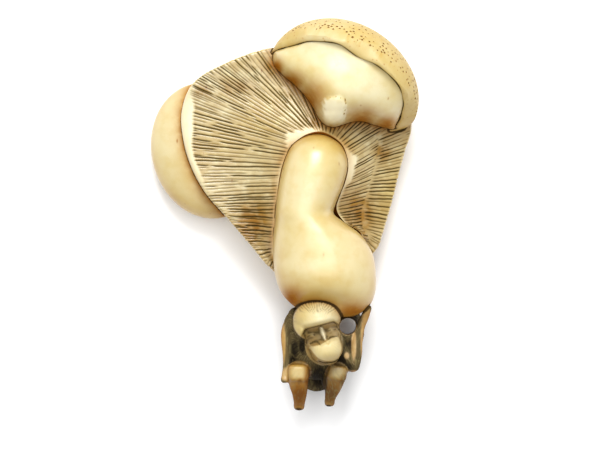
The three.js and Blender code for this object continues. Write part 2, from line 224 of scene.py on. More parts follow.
MONKEY_LIMBS = {
    "left_arm": {
        "spine": [
            (1.9, -15.6, 8.8), (0.4, -17.2, 9.4), (0.1, -18.9, 9.6), (0.25, -21.3, 9.8), (0.2, -22.9, 9.9),
            (-0.1, -24.8, 10.0),
        ],
        "radii": [1.8, 1.0, 0.8, 0.7, 0.62, 0.58],
    },
    "right_upper_arm": {
        "spine": [(8.3, -18.4, 8.8), (9.3, -20.6, 9.4), (10.2, -22.6, 9.8)],
        "radii": [1.7, 1.5, 1.25],
    },
    "right_forearm": {
        "spine": [
            (10.3, -22.7, 9.8), (10.85, -21.2, 10.3), (11.0, -19.1, 10.3), (11.5, -17.0, 10.4),
            (12.25, -15.2, 10.9), (12.7, -14.0, 11.6),
        ],
        "radii": [1.2, 0.92, 0.9, 0.72, 0.66, 0.55],
    },
    "left_thigh": {
        "spine": [(3.2, -21.6, 6.0), (2.5, -22.9, 8.6), (2.05, -23.7, 10.0)],
        "radii": [2.7, 2.1, 1.5],
    },
    "right_thigh": {
        "spine": [(7.2, -21.6, 6.0), (7.7, -22.9, 8.6), (7.9, -23.8, 9.9)],
        "radii": [2.7, 2.0, 1.4],
    },
    "left_shin": {
        "spine": [
            (2.0, -24.4, 10.4), (2.0, -25.6, 9.8), (2.15, -26.9, 8.8), (2.15, -28.2, 7.4),
            (2.1, -29.1, 6.3),
        ],
        "radii": [1.55, 1.45, 1.18, 0.93, 0.8],
        "power": 2.8,
    },
    "right_shin": {
        "spine": [(7.85, -24.5, 10.2), (7.4, -26.0, 9.2), (7.0, -27.4, 7.8), (6.8, -28.5, 6.6)],
        "radii": [1.45, 1.27, 0.92, 0.74],
        "power": 2.8,
    },
}
ARMS = ("left_arm", "right_upper_arm", "right_forearm")
SHINS = ("left_shin", "right_shin")
MONKEY_GRAIN = 0.175  # voxel of the monkey's mesh

# Its face is laid out in millimetres across and up from the middle of its eyes.
FACE_MIDDLE = (5.55, -17.95)
FACE_TURN = 15
EYE_SOCKET = {"centre": (1.6, 0.38), "size": (0.95, 0.55)}
EYEBALL = {"centre": (1.6, 0.33), "size": (0.5, 0.33)}
EYELID = {"centre": (1.6, 0.33), "size": (0.42, 0.26)}  # its worn, lighter part
LID_LINE = [(2.2, 0.15), (1.65, 0.34), (1.1, 0.22)]
CHEEK_FOLD = [(0.55, -1.6), (1.1, -0.85), (2.0, -0.95)]
NOSTRIL = {"centre": (0.33, -1.42), "size": (0.14, 0.11)}
NOSE_LEAN = 0.2
MOUTH = [(-1.45, -3.85), (-0.8, -4.3), (0.0, -4.5), (0.8, -4.55), (1.4, -4.4)]
MUZZLE_MIDDLE = (0.0, -2.6)
MUZZLE_EDGE = [
    (-0.6, -1.45), (1.33, -0.98), (2.25, -1.07), (2.43, -2.47), (1.99, -3.59), (1.1, -4.39), (-0.23, -4.13),
    (-1.38, -3.41), (-2.1, -2.07), (-2.41, -1.48),
]

HAIR_PITCH = 0.4
HAIR_DEPTH = 0.06
COMB_PITCH = 0.42  # of the combed hair on its head
ARM_HAIRS = {"left_arm": 0.5, "right_upper_arm": 0.9, "right_forearm": 0.7}  # how strong they are
FUR_STRETCH = 7  # how many times longer than wide the tufts of fur are
FUR_MIDDLE = (5.0, -18.0)  # the fur runs outwards from here

# The knees and the patches of the monkey's colouring and of its painted shade: x, y, half width, half
# height.
KNEES = [(2.0, -23.9, 1.9, 1.7, 1.6), (7.95, -23.9, 1.7, 1.6, 1.6)]
WORN_KNEES = [(2.0, -23.9, 1.5, 1.25), (8.1, -24.0, 1.2, 0.9)]
BROWN_SHINS = [
    (2.2, -27.2, 1.1, 1.7), (7.0, -27.0, 1.1, 1.5), (3.3, -24.4, 0.5, 1.6), (2.2, -25.1, 0.4, 0.4),
    (8.9, -25.0, 0.6, 1.0),
]
BETWEEN_LEGS = 5.0  # x
RIGHT_LEG_DARKER, LEFT_LEG_DARKER = 0.5, 0.2
# DEEP_SHADES are painted shade, near-black: between the legs, beside the head, at the right elbow and
# between the left arm and the trunk.
DEEP_SHADES = [
    (5.2, -24.6, 1.6, 2.4), (9.8, -15.2, 1.6, 0.9), (9.2, -23.0, 1.4, 0.9), (1.4, -20.3, 0.8, 1.6),
    (2.6, -19.8, 0.7, 1.6),
]
# The dark ends of the toes, and painted shade on the right leg's inner side, between the legs.
DARK_TOES_AND_LEG_SHADE = [(2.0, -29.8, 0.8, 0.5), (6.6, -29.2, 0.6, 0.3), (5.7, -25.6, 0.95, 2.6)]
WORN_ARMS = [
    (-0.4, -19.5, 0.5, 3.8), (-0.1, -24.4, 0.7, 1.4), (10.5, -19.6, 0.42, 3.0), (11.9, -18.8, 0.42, 4.0),
    (12.5, -15.4, 0.9, 2.0), (9.4, -21.3, 0.45, 0.6), (10.4, -23.8, 1.2, 0.3),
]

# Which form a face of the finished mesh belongs to.
CAP, STEM, BUD, VEIL, SIDE, MONKEY, TABLE, HOLE, PIT = range(1, 10)

# How each meeting of two forms looks: half width of its dark line, strength of the brown beside it.
CREASES = {
    (CAP, STEM): (0.19, 0.85), (BUD, VEIL): (0.11, 0.35), (CAP, VEIL): (0.13, 0.9),
    (CAP, SIDE): (0.15, 0.95), (CAP, BUD): (0.2, 0.5), (STEM, MONKEY): (0.36, 0.95),
    (SIDE, STEM): (0.2, 0.6), (CAP, MONKEY): (0.2, 0.7), (SIDE, MONKEY): (0.2, 0.7),
    (MONKEY, HOLE): (0.01, 0.5), (STEM, VEIL): (0.14, 0.5),
}
CREASE_REACH = 5.0  # distances from a crease are measured up to here
CREASE_FADE = 0.75  # how far the brown spreads from it
VEIL_STAIN_FADE = 6  # and how far the veil's own stains do
WIDE_SEAM = (17.6, 15.0, 0.9, 2.2, 0.5)  # where the bud's seam gapes, and how much wider it is there
OUTLINE_STEPS = 600
SHADE_REACH = 3.0  # what stands this near closes a place off, and painted shade darkens the monkey there
DEEP_HOLLOW = 0.03  # a place this far below its surroundings counts as a full hollow
DOME_EDGE = 1.05  # beyond this share of the side cap's dome, squared, lies its stem

# --- Numbers --------------------------------------------------------------------------------------


def smooth(x, start, end):
    """From 0 at start to 1 at end, with soft ends."""
    t = np.clip((x - start) / (end - start), 0, 1)
    return t * t * (3 - 2 * t)


def through(points, share, closed=False):
    """Places along a centripetal spline through points, at shares of its number of spans."""
    points = np.asarray(points, float)
    count = len(points)
    if closed:
        points = np.concatenate([points[-1:], points, points[:2]])
        spans = count
    else:
        points = np.concatenate([2 * points[:1] - points[1:2], points, 2 * points[-1:] - points[-2:-1]])
        spans = count - 1
    along = np.clip(np.asarray(share, float), 0, 1) * spans
    first = np.minimum(along.astype(int), spans - 1)
    t = (along - first)[..., None]
    p0, p1, p2, p3 = (points[first + step] for step in range(4))
    spans = ((p0, p1), (p1, p2), (p2, p3))
    d0, d1, d2 = (np.sqrt(np.linalg.norm(b - a, axis=-1, keepdims=True)) for a, b in spans)
    d1 = np.where(d1 < 1e-4, 1, d1)
    d0 = np.where(d0 < 1e-4, d1, d0)
    d2 = np.where(d2 < 1e-4, d1, d2)
    m1 = ((p1 - p0) / d0 - (p2 - p0) / (d0 + d1) + (p2 - p1) / d1) * d1
    m2 = ((p2 - p1) / d1 - (p3 - p1) / (d1 + d2) + (p3 - p2) / d2) * d1
    return p1 + m1 * t + (3 * (p2 - p1) - 2 * m1 - m2) * t**2 + (2 * (p1 - p2) + m1 + m2) * t**3


def noise(points, size, seed=0):
    """Smooth random values from 0 to 1, in blobs of about that size."""
    q = np.asarray(points) / size + 31.7 * (seed + 1)
    cell = np.floor(q).astype(np.int64)
    part = q - cell
    part = part * part * (3 - 2 * part)
    total = 0
    for corner in product((0, 1), repeat=3):
        x, y, z = (cell + corner).T
        code = (x * 73856093) ^ (y * 19349663) ^ (z * 83492791) ^ (seed * 2654435761)
        code = (code ^ (code >> 13)) * 1274126177
        value = ((code ^ (code >> 16)) & 0xFFFF) / 65535
        total = total + value * np.prod(np.where(corner, part, 1 - part), axis=1)
    return total


# --- Meshes ---------------------------------------------------------------------------------------


def deselect():
    bpy.ops.object.select_all(action="DESELECT")


def take(obj):
    """Makes obj the only selected and the active object."""
    deselect()
    obj.select_set(True)
    bpy.context.view_layer.objects.active = obj


def points_of(obj):
    co = np.zeros(len(obj.data.vertices) * 3, np.float32)
    obj.data.vertices.foreach_get("co", co)
    return co.reshape(-1, 3).astype(float)


def move_points(obj, co):
    obj.data.vertices.foreach_set("co", np.asarray(co, np.float32).ravel())
    obj.data.update()


def field(obj, name, values=None, kind="FLOAT", domain="POINT"):
    """Writes a field on the mesh, or reads it when no values are given."""
    layer = obj.data.attributes.get(name)
    key = "vector" if kind == "FLOAT_VECTOR" else "value"
    if values is not None:
        layer = layer or obj.data.attributes.new(name, kind, domain)
        layer.data.foreach_set(key, np.asarray(values, np.int32 if kind == "INT" else np.float32).ravel())
        return None
    size = len(layer.data) * (3 if kind == "FLOAT_VECTOR" else 1)
    out = np.zeros(size, np.int32 if layer.data_type == "INT" else np.float32)
    layer.data.foreach_get(key, out)
    return out.reshape(-1, 3) if kind == "FLOAT_VECTOR" else out


def settle(co):
    """Undersides flatten softly towards the table."""
    out = np.array(co, float)
    below = np.maximum(SETTLE_FROM - out[:, 2], 0)
    flat = SETTLE_FROM - SETTLE_DEPTH * np.tanh(below / SETTLE_DEPTH)
    out[:, 2] = np.where(below > 0, flat, out[:, 2])
    return out


def mark(obj, form):
    """Says which form every face of obj belongs to."""
    field(obj, "form", np.full(len(obj.data.polygons), form), "INT", "FACE")
    return obj


def net(name, columns, rings, place, **fields):
    """A grid rolled up into a closed form: columns run round it, rings from pole to pole.

    place(column share, ring) gives the points; fields(column, ring) give values kept on them."""
    deselect()
    bpy.ops.mesh.primitive_grid_add(x_subdivisions=columns, y_subdivisions=rings, size=1)
    form = bpy.context.object
    form.name = name
    flat = points_of(form)
    column = np.rint((flat[:, 0] + 0.5) * columns).astype(int) % columns
    ring = np.rint((0.5 - flat[:, 1]) * rings).astype(int)
    move_points(form, place(column / columns, ring))
    for key, values in fields.items():
        field(form, key, values[ring, column], "FLOAT" if values.ndim == 2 else "FLOAT_VECTOR")
    form.data.uv_layers.remove(form.data.uv_layers[0])
    bpy.ops.object.mode_set(mode="EDIT")
    bpy.ops.mesh.select_all(action="SELECT")
    bpy.ops.mesh.remove_doubles(threshold=1e-4)
    bpy.ops.mesh.normals_make_consistent(inside=False)
    bpy.ops.object.mode_set(mode="OBJECT")
    return form


def lump(name, centre, radii, turn=0, power=2, segments=64, rings=40):
    """An ellipsoid, turned in plan; a power above 2 makes it blockier."""
    deselect()
    bpy.ops.mesh.primitive_uv_sphere_add(segments=segments, ring_count=rings)
    form = bpy.context.object
    form.name = name
    ball = points_of(form)
    move_points(form, ball / np.sum(np.abs(ball) ** power, axis=1, keepdims=True) ** (1 / power))
    form.location = centre
    form.scale = radii
    form.rotation_euler = (0, 0, math.radians(turn))
    bpy.ops.object.transform_apply(location=True, rotation=True, scale=True)
    form.data.uv_layers.remove(form.data.uv_layers[0])
    return form


def limb(name, spine, radii, power=2, around=40, along=40, end_rings=8):
    """A tube with round ends along a bent spine, its radius changing on the way; a power above 2
    makes its section blockier."""
    reach = len(radii) - 1
    sizes = [(step / reach, radius, 0) for step, radius in enumerate(radii)]
    rings = along + 2 * end_rings

    def place(round_share, ring):
        start = np.clip(end_rings - ring, 0, end_rings) / end_rings
        finish = np.clip(ring - end_rings - along, 0, end_rings) / end_rings
        share = np.clip((ring - end_rings) / along, 0, 1)
        radius = through(sizes, share)[:, 1]
        middle = through(spine, share)
        step = 1e-3
        ahead = through(spine, np.minimum(share + step, 1)) - through(spine, np.maximum(share - step, 0))
        ahead /= np.linalg.norm(ahead, axis=1, keepdims=True)
        side = np.cross(ahead, (0, 0, 1))
        side /= np.linalg.norm(side, axis=1, keepdims=True)
        over = np.cross(side, ahead)
        turn = 2 * math.pi * round_share
        beyond = (np.sin(finish * math.pi / 2) - np.sin(start * math.pi / 2)) * radius
        width = np.cos(np.maximum(start, finish) * math.pi / 2) * radius
        outward = np.cos(turn)[:, None] * side + np.sin(turn)[:, None] * over
        outward /= (np.abs(np.cos(turn)) ** power + np.abs(np.sin(turn)) ** power)[:, None] ** (1 / power)
        return middle + beyond[:, None] * ahead + width[:, None] * outward

    return net(name, around, rings, place)


def apply_modifier(obj, kind, **settings):
    take(obj)
    modifier = obj.modifiers.new(kind.lower(), kind)
    for key, value in settings.items():
        setattr(modifier, key, value)
    bpy.ops.object.modifier_apply(modifier=modifier.name)


def combine(obj, other, operation):
    """Joins other to obj, or cuts it away."""
    apply_modifier(obj, "BOOLEAN", operation=operation, solver="MANIFOLD", object=other)
    bpy.data.objects.remove(other)


def fuse(name, parts, grain, passes):
    """Several overlapping forms as one skin, with softened joins."""
    take(parts[0])
    for part in parts:
        part.select_set(True)
    bpy.ops.object.join()
    whole = bpy.context.object
    whole.name = name
    apply_modifier(whole, "REMESH", mode="VOXEL", voxel_size=grain)
    apply_modifier(whole, "SMOOTH", factor=0.5, iterations=passes)
    return whole


def thin_out(obj, below, ratio):
    """Leaves only a share of the faces that lie below that height and don't face up."""
    take(obj)
    bpy.context.tool_settings.mesh_select_mode = (False, False, True)
    bpy.ops.object.mode_set(mode="EDIT")
    bpy.ops.mesh.select_all(action="DESELECT")
    bpy.ops.object.mode_set(mode="OBJECT")
    under = np.array([face.center.z < below and face.normal.z < -0.1 for face in obj.data.polygons])
    obj.data.polygons.foreach_set("select", under)
    bpy.ops.object.mode_set(mode="EDIT")
    bpy.ops.mesh.decimate(ratio=ratio)
    bpy.ops.object.mode_set(mode="OBJECT")
    return obj


# --- The large cap --------------------------------------------------------------------------------


def seed_stroke(at, age):
    return {
        "at": at, "age": age, "force": rng.uniform(0.45, 1.1), "sway": rng.uniform(0, 9),
        "left": rng.uniform(*STROKE_LENGTHS),
    }


def face_strokes(rows, reach, right, dirt, fine):
    """Engraved strokes over the gilled face: ink and depth for every ring and column.

    rows are the rings of points, from the collar out, and reach is how far out each lies. right is
    1 for the columns at the right, where the strokes come in two tiers. Strokes lie closer where
    fine is 1. A stroke runs from ring to ring and ends in a point; another then takes its place. One
    is added where two drift too far apart, and one ends where two come too close."""
    rings, columns = rows.shape[:2]
    ink = np.zeros((rings, columns))
    depth = np.zeros((rings, columns))
    shares = np.arange(columns + 1) / columns
    stride = np.linalg.norm(rows[1] - rows[0], axis=1)
    strokes = []
    for ring in range(rings):
        loop = rows[ring]
        steps = np.linalg.norm(np.roll(loop, -1, axis=0) - loop, axis=1)
        arc = np.concatenate([[0], np.cumsum(steps)])
        total = arc[-1]
        outer_tier = reach[ring] > TIER_REACH

        def to_arc(share):
            return np.interp(share % 1, shares, arc)

        def to_share(place):
            return np.interp(place % total, arc, shares)

        def column_of(share):
            return int(share % 1 * columns) % columns

        if ring == 0:
            count = int(total / GILL_PITCH)
            places = (np.arange(count) + rng.uniform(-0.25, 0.25, count)) * total / count
            strokes = [seed_stroke(to_share(place), 0) for place in places]
        elif outer_tier and reach[ring - 1] <= TIER_REACH:
            strokes = [stroke for stroke in strokes if right[column_of(stroke["at"])] < 0.5]
            place = 0
            while place < total:
                share = to_share(place)
                if right[column_of(share)] >= 0.5:
                    strokes.append(seed_stroke(share, rng.uniform(-0.7, 0)))
                place += OUTER_PITCH * rng.uniform(0.85, 1.15)
        strokes.sort(key=lambda stroke: stroke["at"] % 1)
        places = [to_arc(stroke["at"]) for stroke in strokes]
        kept = []
        for k, stroke in enumerate(strokes):
            gap = (places[(k + 1) % len(strokes)] - places[k]) % total
            column = column_of(stroke["at"])
            pitch = GILL_PITCH * (1 - 0.25 * fine[ring, column])
            if outer_tier and right[column] > 0.5:
                pitch = OUTER_PITCH
            if gap < 0.5 * pitch and stroke["age"] > 1:
                continue
            kept.append(stroke)
            if gap > 1.5 * pitch:
                middle = to_share(places[k] + gap * rng.uniform(0.42, 0.58))
                kept.append(seed_stroke(middle, rng.uniform(-0.6, 0)))
        strokes = kept
        for stroke in strokes:
            column = column_of(stroke["at"])
            stroke["age"] += stride[column]
            stroke["left"] -= stride[column]
            if stroke["left"] < 0:
                next_to = to_share(to_arc(stroke["at"]) + rng.uniform(-0.2, 0.2))
                fresh = seed_stroke(next_to, rng.uniform(-0.5, 0.2))
                stroke.update(fresh)
            sway = 0.06 * math.sin(0.24 * ring + stroke["sway"])
            sway += 0.015 * math.sin(1.1 * ring + 2 * stroke["sway"])
            place = to_arc(stroke["at"]) + sway
            begun = min(max(stroke["age"], 0) / STROKE_POINT, 1)
            ending = min(stroke["left"] / STROKE_POINT, 1)
            force = stroke["force"] * min(begun, ending) ** 0.7 * (0.8 + 0.4 * dirt[ring, column])
            off = np.abs((arc[:-1] - place + total / 2) % total - total / 2)
            near = np.nonzero(off < 0.6)[0]
            off = off[near]
            width = STROKE_HALF_WIDTH * (0.45 + 0.55 * force)
            line = 1 - smooth(off, 0.4 * width, 1.9 * width)
            ink[ring, near] = np.maximum(ink[ring, near], min(1.3 * force, 1) * line)
            depth[ring, near] = np.maximum(depth[ring, near], force * np.exp(-((off / 0.13) ** 2)))
    return ink, depth


def near_patches(points, patches):
    """How deep inside the round patches each point lies: 1 in the middle, 0 outside, times the
    strength of those that have one."""
    total = np.zeros(points.shape[:-1])
    for x, y, width, height, *strength in patches:
        away = ((points[..., 0] - x) / width) ** 2 + ((points[..., 1] - y) / height) ** 2
        total = np.maximum(total, np.exp(-away * 1.2) * (strength or [1])[0])
    return total


def gilled_cap():
    share = np.arange(GILL_COLUMNS) / GILL_COLUMNS
    collar = through([rib[0] for rib in CAP_RIBS], share, closed=True)
    outline = through([rib[1] for rib in CAP_RIBS], share, closed=True)
    front = np.array(CAP_FRONT_CENTRE, float)
    back = np.array(CAP_BACK_CENTRE, float)
    outward = (outline - collar) * (1, 1, 0)
    outward /= np.linalg.norm(outward, axis=1, keepdims=True)
    # a broad rolled lip at the left, thin elsewhere
    rolled = smooth(-outline[:, 0], 7.5, 14) * smooth(outline[:, 1], 2, 8) * smooth(outline[:, 1], 21.5, 17)
    right = smooth(outline[:, 0], 12.5, 15) * smooth(outline[:, 1], 17, 12)
    bands = np.interp(outline[:, 1], *np.array(LIP_BANDS).T)
    inset = (0.3 + (bands - 0.45) * rolled)[:, None]
    lip = outline - outward * inset

    rows = [np.tile(front, (GILL_COLUMNS, 1))]
    for reach, drop in ((COLLAR_GROOVE_SHARE, 1.0), (0.92, 0.85), (0.96, 0.5), (0.985, 0.2)):
        row = front + (collar - front) * reach
        row[:, 2] = collar[:, 2] - COLLAR_GROOVE_DEPTH * drop
        rows.append(row)
    first_face = len(rows)
    reach = np.linspace(0, 1, FACE_RINGS)
    # at the right the inner tier of strokes slants upwards, the outer tier runs straight out
    climb = INNER_SLANT * np.clip(reach / TIER_REACH, 0, 1)[:, None] * right
    inner = through([rib[0] for rib in CAP_RIBS], (share + climb) % 1, closed=True)
    outer = through([rib[1] for rib in CAP_RIBS], (share + climb) % 1, closed=True)
    climbed = outer - outline
    lip = lip + climbed[-1]
    face = inner + (outer - outward * inset - inner) * reach[:, None, None]
    face[..., 2] -= DISH_DEPTH * np.sin(math.pi * reach)[:, None]
    dirt = near_patches(face, DIRTY_PATCHES)
    fine = near_patches(face, FINE_PATCHES)
    ink, depth = face_strokes(face, reach, right, dirt, fine)
    # a smooth collar of changing width, and a smooth band before the rolled lip
    length = np.linalg.norm((lip - collar)[:, :2], axis=1)
    uneven = noise(np.stack([share * 70, share * 0, share * 0], 1), 1, 3)
    bright = np.maximum(near_patches(collar, SMOOTH_COLLARS), 0.12)
    start = bright * SMOOTH_COLLAR_WIDTH * (0.6 + 0.8 * uneven)
    out = reach[:, None] * length
    begin = smooth(out, start - 0.15, start + 0.35)
    ragged = 0.6 * noise(np.stack([share * 160, share * 0, share * 0], 1), 1, 4)
    stop = 1 - rolled * smooth(out, length - ragged - 0.1, length - ragged + 0.15)
    ink *= begin * stop
    depth *= begin * stop
    face[..., 2] -= STROKE_DEPTH * depth
    rows += list(face)
    for ring in range(1, LIP_RINGS + 1):
        angle = ring / LIP_RINGS * math.pi / 2
        row = lip + outward * inset * math.sin(angle)
        notch = depth[-1] * (1 - rolled)
        row -= outward * (0.16 * notch * math.sin(angle))[:, None]
        row[:, 2] -= LIP_DROP * (1 - math.cos(angle)) + STROKE_DEPTH * notch * math.cos(angle)
        rows.append(row)
    widest = rows[-1].copy()
    for ring in range(1, CAP_BACK_RINGS + 1):
        angle = ring / CAP_BACK_RINGS * math.pi / 2
        row = widest + (back - widest) * (1 - math.cos(angle))
        row[:, 2] = back[2] + (widest[:, 2] - back[2]) * (1 - math.sin(angle))
        rows.append(row)
    rows = np.array(rows)
    inks = np.zeros(rows.shape[:2])
    dirts = np.zeros(rows.shape[:2])
    stains = np.zeros(rows.shape[:2])
    stains[1:first_face] = 1
    stains[first_face : first_face + FACE_RINGS] = 0.35 * dirt * begin * stop
    inks[first_face : first_face + FACE_RINGS] = ink
    dirts[first_face : first_face + FACE_RINGS] = 0.6 * begin * stop + 0.6 * dirt
    # the lip's pale: worn on the rolled lip and the smooth collars, and partly a painted highlight where
    # these rounded ridges catch the light
    lips = np.zeros(rows.shape[:2])
    lips[first_face : first_face + FACE_RINGS] = np.maximum(rolled * (1 - stop), bright * (1 - begin))
    lips[first_face : first_face + FACE_RINGS] *= 1 - ink
    lips[first_face + FACE_RINGS :] = rolled
    for ring in range(1, LIP_RINGS + 1):
        inks[first_face + FACE_RINGS + ring - 1] = ink[-1] * (1 - ring / LIP_RINGS) * (1 - rolled)

    # directions for the hairlines between the strokes: round the cap, and slowly outwards
    turn = 2 * math.pi * share
    nap = np.zeros((*rows.shape[:2], 3))
    nap[..., 0] = HAIRLINE_ROUND * np.cos(turn)
    nap[..., 1] = HAIRLINE_ROUND * np.sin(turn)
    nap[..., 2] = 1 + np.arange(len(rows))[:, None] * 0.5 / HAIRLINE_STRETCH
    engraved = np.zeros(rows.shape[:2])
    engraved[first_face : first_face + FACE_RINGS] = begin * stop * (0.55 + 0.45 * dirt)

    def place(column_share, ring):
        column = np.rint(column_share * GILL_COLUMNS).astype(int)
        return settle(rows[ring, column])

    kept = {"ink": inks, "dirt": dirts, "groove": stains, "lip": lips, "nap": nap, "engraved": engraved}
    cap = mark(net("gilled_cap", GILL_COLUMNS, len(rows) - 1, place, **kept), CAP)
    # the plain back needs far fewer faces than the engraved front
    return thin_out(cap, 6.5, 0.12)


def stem():
    rings = 80
    edges = [(left, y, right) for y, left, right, _, _ in STEM_SECTIONS]
    depths = [(middle, y, half) for y, _, _, middle, half in STEM_SECTIONS]

    def place(column_share, ring):
        edge = through(edges, ring / rings)
        depth = through(depths, ring / rings)
        angle = 2 * math.pi * column_share
        width = np.maximum(0, edge[:, 2] - edge[:, 0]) / 2
        x = (edge[:, 0] + edge[:, 2]) / 2 - np.cos(angle) * width
        z = depth[:, 0] + np.sin(angle) * np.maximum(0, depth[:, 2])
        away = (np.stack([x, edge[:, 1]], 1) - NECK_DIP["place"]) / NECK_DIP["size"]
        z -= NECK_DIP["depth"] * np.exp(-np.sum(away**2, axis=1)) * smooth(z, 10, 12)
        return settle(np.stack([x, edge[:, 1], z], 1))

    return mark(net("stem", 72, rings, place), STEM)


# --- The bud --------------------------------------------------------------------------------------


def bud_point(angle, radius, out):
    """Points of the bud: angle round its mouth, radius, and distance out of the mouth."""
    crownward = np.array([math.cos(BUD_HEADING), math.sin(BUD_HEADING), 0])
    across = np.array([math.sin(BUD_HEADING), -math.cos(BUD_HEADING), 0])
    upward = crownward * math.sin(BUD_LEAN) + (0, 0, math.cos(BUD_LEAN))
    outward = -crownward * math.cos(BUD_LEAN) + (0, 0, math.sin(BUD_LEAN))
    angle, radius, out = np.broadcast_arrays(*(np.atleast_1d(value) for value in (angle, radius, out)))
    angle, radius, out = angle[:, None], radius[:, None], out[:, None]
    return BUD_MOUTH + across * radius * np.cos(angle) + upward * radius * np.sin(angle) + outward * out


def seam_radius(angle):
    degrees = np.degrees(angle) % 360
    stops, radii = np.array(BUD_SEAM, float).T
    step = np.clip(np.searchsorted(stops, degrees, side="right") - 1, 0, len(stops) - 2)
    share = smooth((degrees - stops[step]) / (stops[step + 1] - stops[step]), 0, 1)
    return radii[step] + (radii[step + 1] - radii[step]) * share


def widest_radius(angle):
    tuck = BUD_TUCK * np.exp(-((((angle + math.pi + 0.35) % (2 * math.pi) - math.pi) / 0.35) ** 2))
    return BUD_RADIUS + BUD_SHIFT * np.cos(angle) - tuck


def crown_point(angle, fall):
    """A point on the bud's crown: fall runs from 0 at its widest ring to a quarter turn at its top."""
    out = BUD_WIDEST - BUD_CROWN_HEIGHT * np.sin(fall)
    return bud_point(angle, widest_radius(angle) * np.cos(fall), out)


def bud_cap():
    crown_rings = 26
    lips = np.array(BUD_LIP)

    def place(column_share, ring):
        angle = 2 * math.pi * column_share
        lip = lips[np.clip(ring - 1, 0, len(lips) - 1)]
        fall = np.clip((ring - len(lips)) / crown_rings, 0, 1) * math.pi / 2
        widest = widest_radius(angle) - BUD_LIP_INSET + BUD_LIP_INSET * lip[:, 0]
        reach = np.minimum(seam_radius(angle) + lip[:, 0], widest)
        mouth = bud_point(angle, reach, lip[:, 1])
        points = np.where((fall > 0)[:, None], crown_point(angle, fall), mouth)
        inside = bud_point(angle, angle * 0, angle * 0 + BUD_INSIDE)
        return settle(np.where((ring == 0)[:, None], inside, points))

    cap = mark(net("bud_cap", 120, len(lips) + crown_rings, place), BUD)
    combine(cap, burrs_at(bud_pits(), rng.uniform(*PIT_SIZES, PIT_COUNT)), "DIFFERENCE")
    return cap


def burrs_at(places, sizes):
    """Small round burrs, joined into one, to drill with."""
    deselect()
    bpy.ops.mesh.primitive_ico_sphere_add(subdivisions=1, radius=1)
    burr = bpy.context.object
    whole = points_of(burr)
    burrs = []
    for place, size in zip(places, sizes):
        copy = burr.copy()
        copy.data = burr.data.copy()
        bpy.context.collection.objects.link(copy)
        move_points(copy, whole * size + place)
        burrs.append(copy)
    bpy.data.objects.remove(burr)
    take(burrs[0])
    for copy in burrs:
        copy.select_set(True)
    bpy.ops.object.join()
    return mark(bpy.context.object, PIT)


def bud_pits():
    """Places of the pits on the bud's crown, in loose clusters."""
    places = []
    while len(places) < PIT_COUNT:
        angle = rng.uniform(0, 2 * math.pi)
        fall = math.asin(rng.uniform(0.03, 1))
        place = crown_point(angle, fall)[0]
        crowded = max(near_patches(place, PIT_CLUSTERS), fall < 0.2, 0.5 * (place[2] < 9))
        tight = PIT_GAP * rng.uniform(0.6, 1.4) * (1 + 1.6 * (1 - crowded))
        if place[2] > 1.5 and all(np.linalg.norm(place - other) > tight for other in places):
            places.append(place)
    return settle(np.array(places))


def knob_square(co):
    """How far each place lies from the worn end's middle: 1 at its edge, a rounded square."""
    x, y, width, height = KNOB
    across, up = np.abs((co[:, 0] - x) / width), np.abs((co[:, 1] - y) / height)
    return across**KNOB_SQUARENESS + up**KNOB_SQUARENESS


def pillow(places, rim):
    """Heights of a plump skin held at its rim, at places within it.

    The rim's nearness and its own height are averages over all of the rim, so the skin is smooth."""
    away = np.linalg.norm(places[:, None, :2] - rim[None, :, :2], axis=2) + 1e-3
    near = away**-3.0
    held = (near @ rim[:, 2]) / near.sum(axis=1)
    around = np.sum(np.linalg.norm(np.diff(rim[:, :2], axis=0, append=rim[:1, :2]), axis=1))
    inward = (math.pi / (2 * around * np.mean(away**-4.0, axis=1))) ** (1 / 3)
    crown = VEIL_CROWN[2] - VEIL_FALL * np.sum((places[:, :2] - VEIL_CROWN[:2]) ** 2, axis=1)
    skin = held + (crown - held) * np.sqrt(1 - np.exp(-2 * inward / VEIL_ROUNDING))
    rise = KNOB_RISE + KNOB_TILT * np.maximum(KNOB[1] - places[:, 1], 0)
    return skin + rise * smooth(knob_square(places), 1.6, 0.5)


def veil():
    seam_angles = np.radians(np.arange(2, 177, 14.5))
    seam = bud_point(seam_angles, seam_radius(seam_angles) - VEIL_INSET, 0)
    seam[:, 2] -= VEIL_EDGE_DROP
    edge = np.concatenate([seam, VEIL_LOWER_EDGE])
    whole_rim = through(edge, np.arange(396) / 396, closed=True)
    rings = 34

    def place(column_share, ring):
        rim = through(edge, column_share, closed=True)
        share = np.sin(np.clip(ring / (rings - 2), 0, 1) * math.pi / 2)
        out = VEIL_CROWN + (rim - VEIL_CROWN) * share[:, None]
        out[:, 2] = np.where(ring < rings - 2, pillow(out, whole_rim), rim[:, 2])
        foot = np.array([VEIL_CROWN[0], VEIL_CROWN[1], VEIL_FOOT])
        deeper = rim * (1, 1, 0) + (0, 0, VEIL_HEM)
        out = np.where((ring == rings - 1)[:, None], deeper + (foot - deeper) * 0.03, out)
        return np.where((ring == rings)[:, None], foot, out)

    skin = mark(net("veil", 180, rings, place), VEIL)
    nicks = np.array([(x, y, 0) for x, y, _ in KNOB_NICKS])
    nicks[:, 2] = pillow(nicks, whole_rim)
    sizes = np.array([size for _, _, size in KNOB_NICKS])
    combine(skin, burrs_at(nicks, sizes[:, None] * (0.7, 2.0, 1)), "DIFFERENCE")
    return skin


# --- The monkey -----------------------------------------------------------------------------------


def normals_of(obj):
    out = np.zeros(len(obj.data.vertices) * 3, np.float32)
    obj.data.vertex_normals.foreach_get("vector", out)
    return out.reshape(-1, 3).astype(float)


def face_axes(co):
    """Places across and up the monkey's face, from the middle of its eyes."""
    turn = math.radians(FACE_TURN)
    away = co[:, :2] - FACE_MIDDLE
    across = away @ (math.cos(turn), math.sin(turn))
    up = away @ (-math.sin(turn), math.cos(turn))
    return across, up


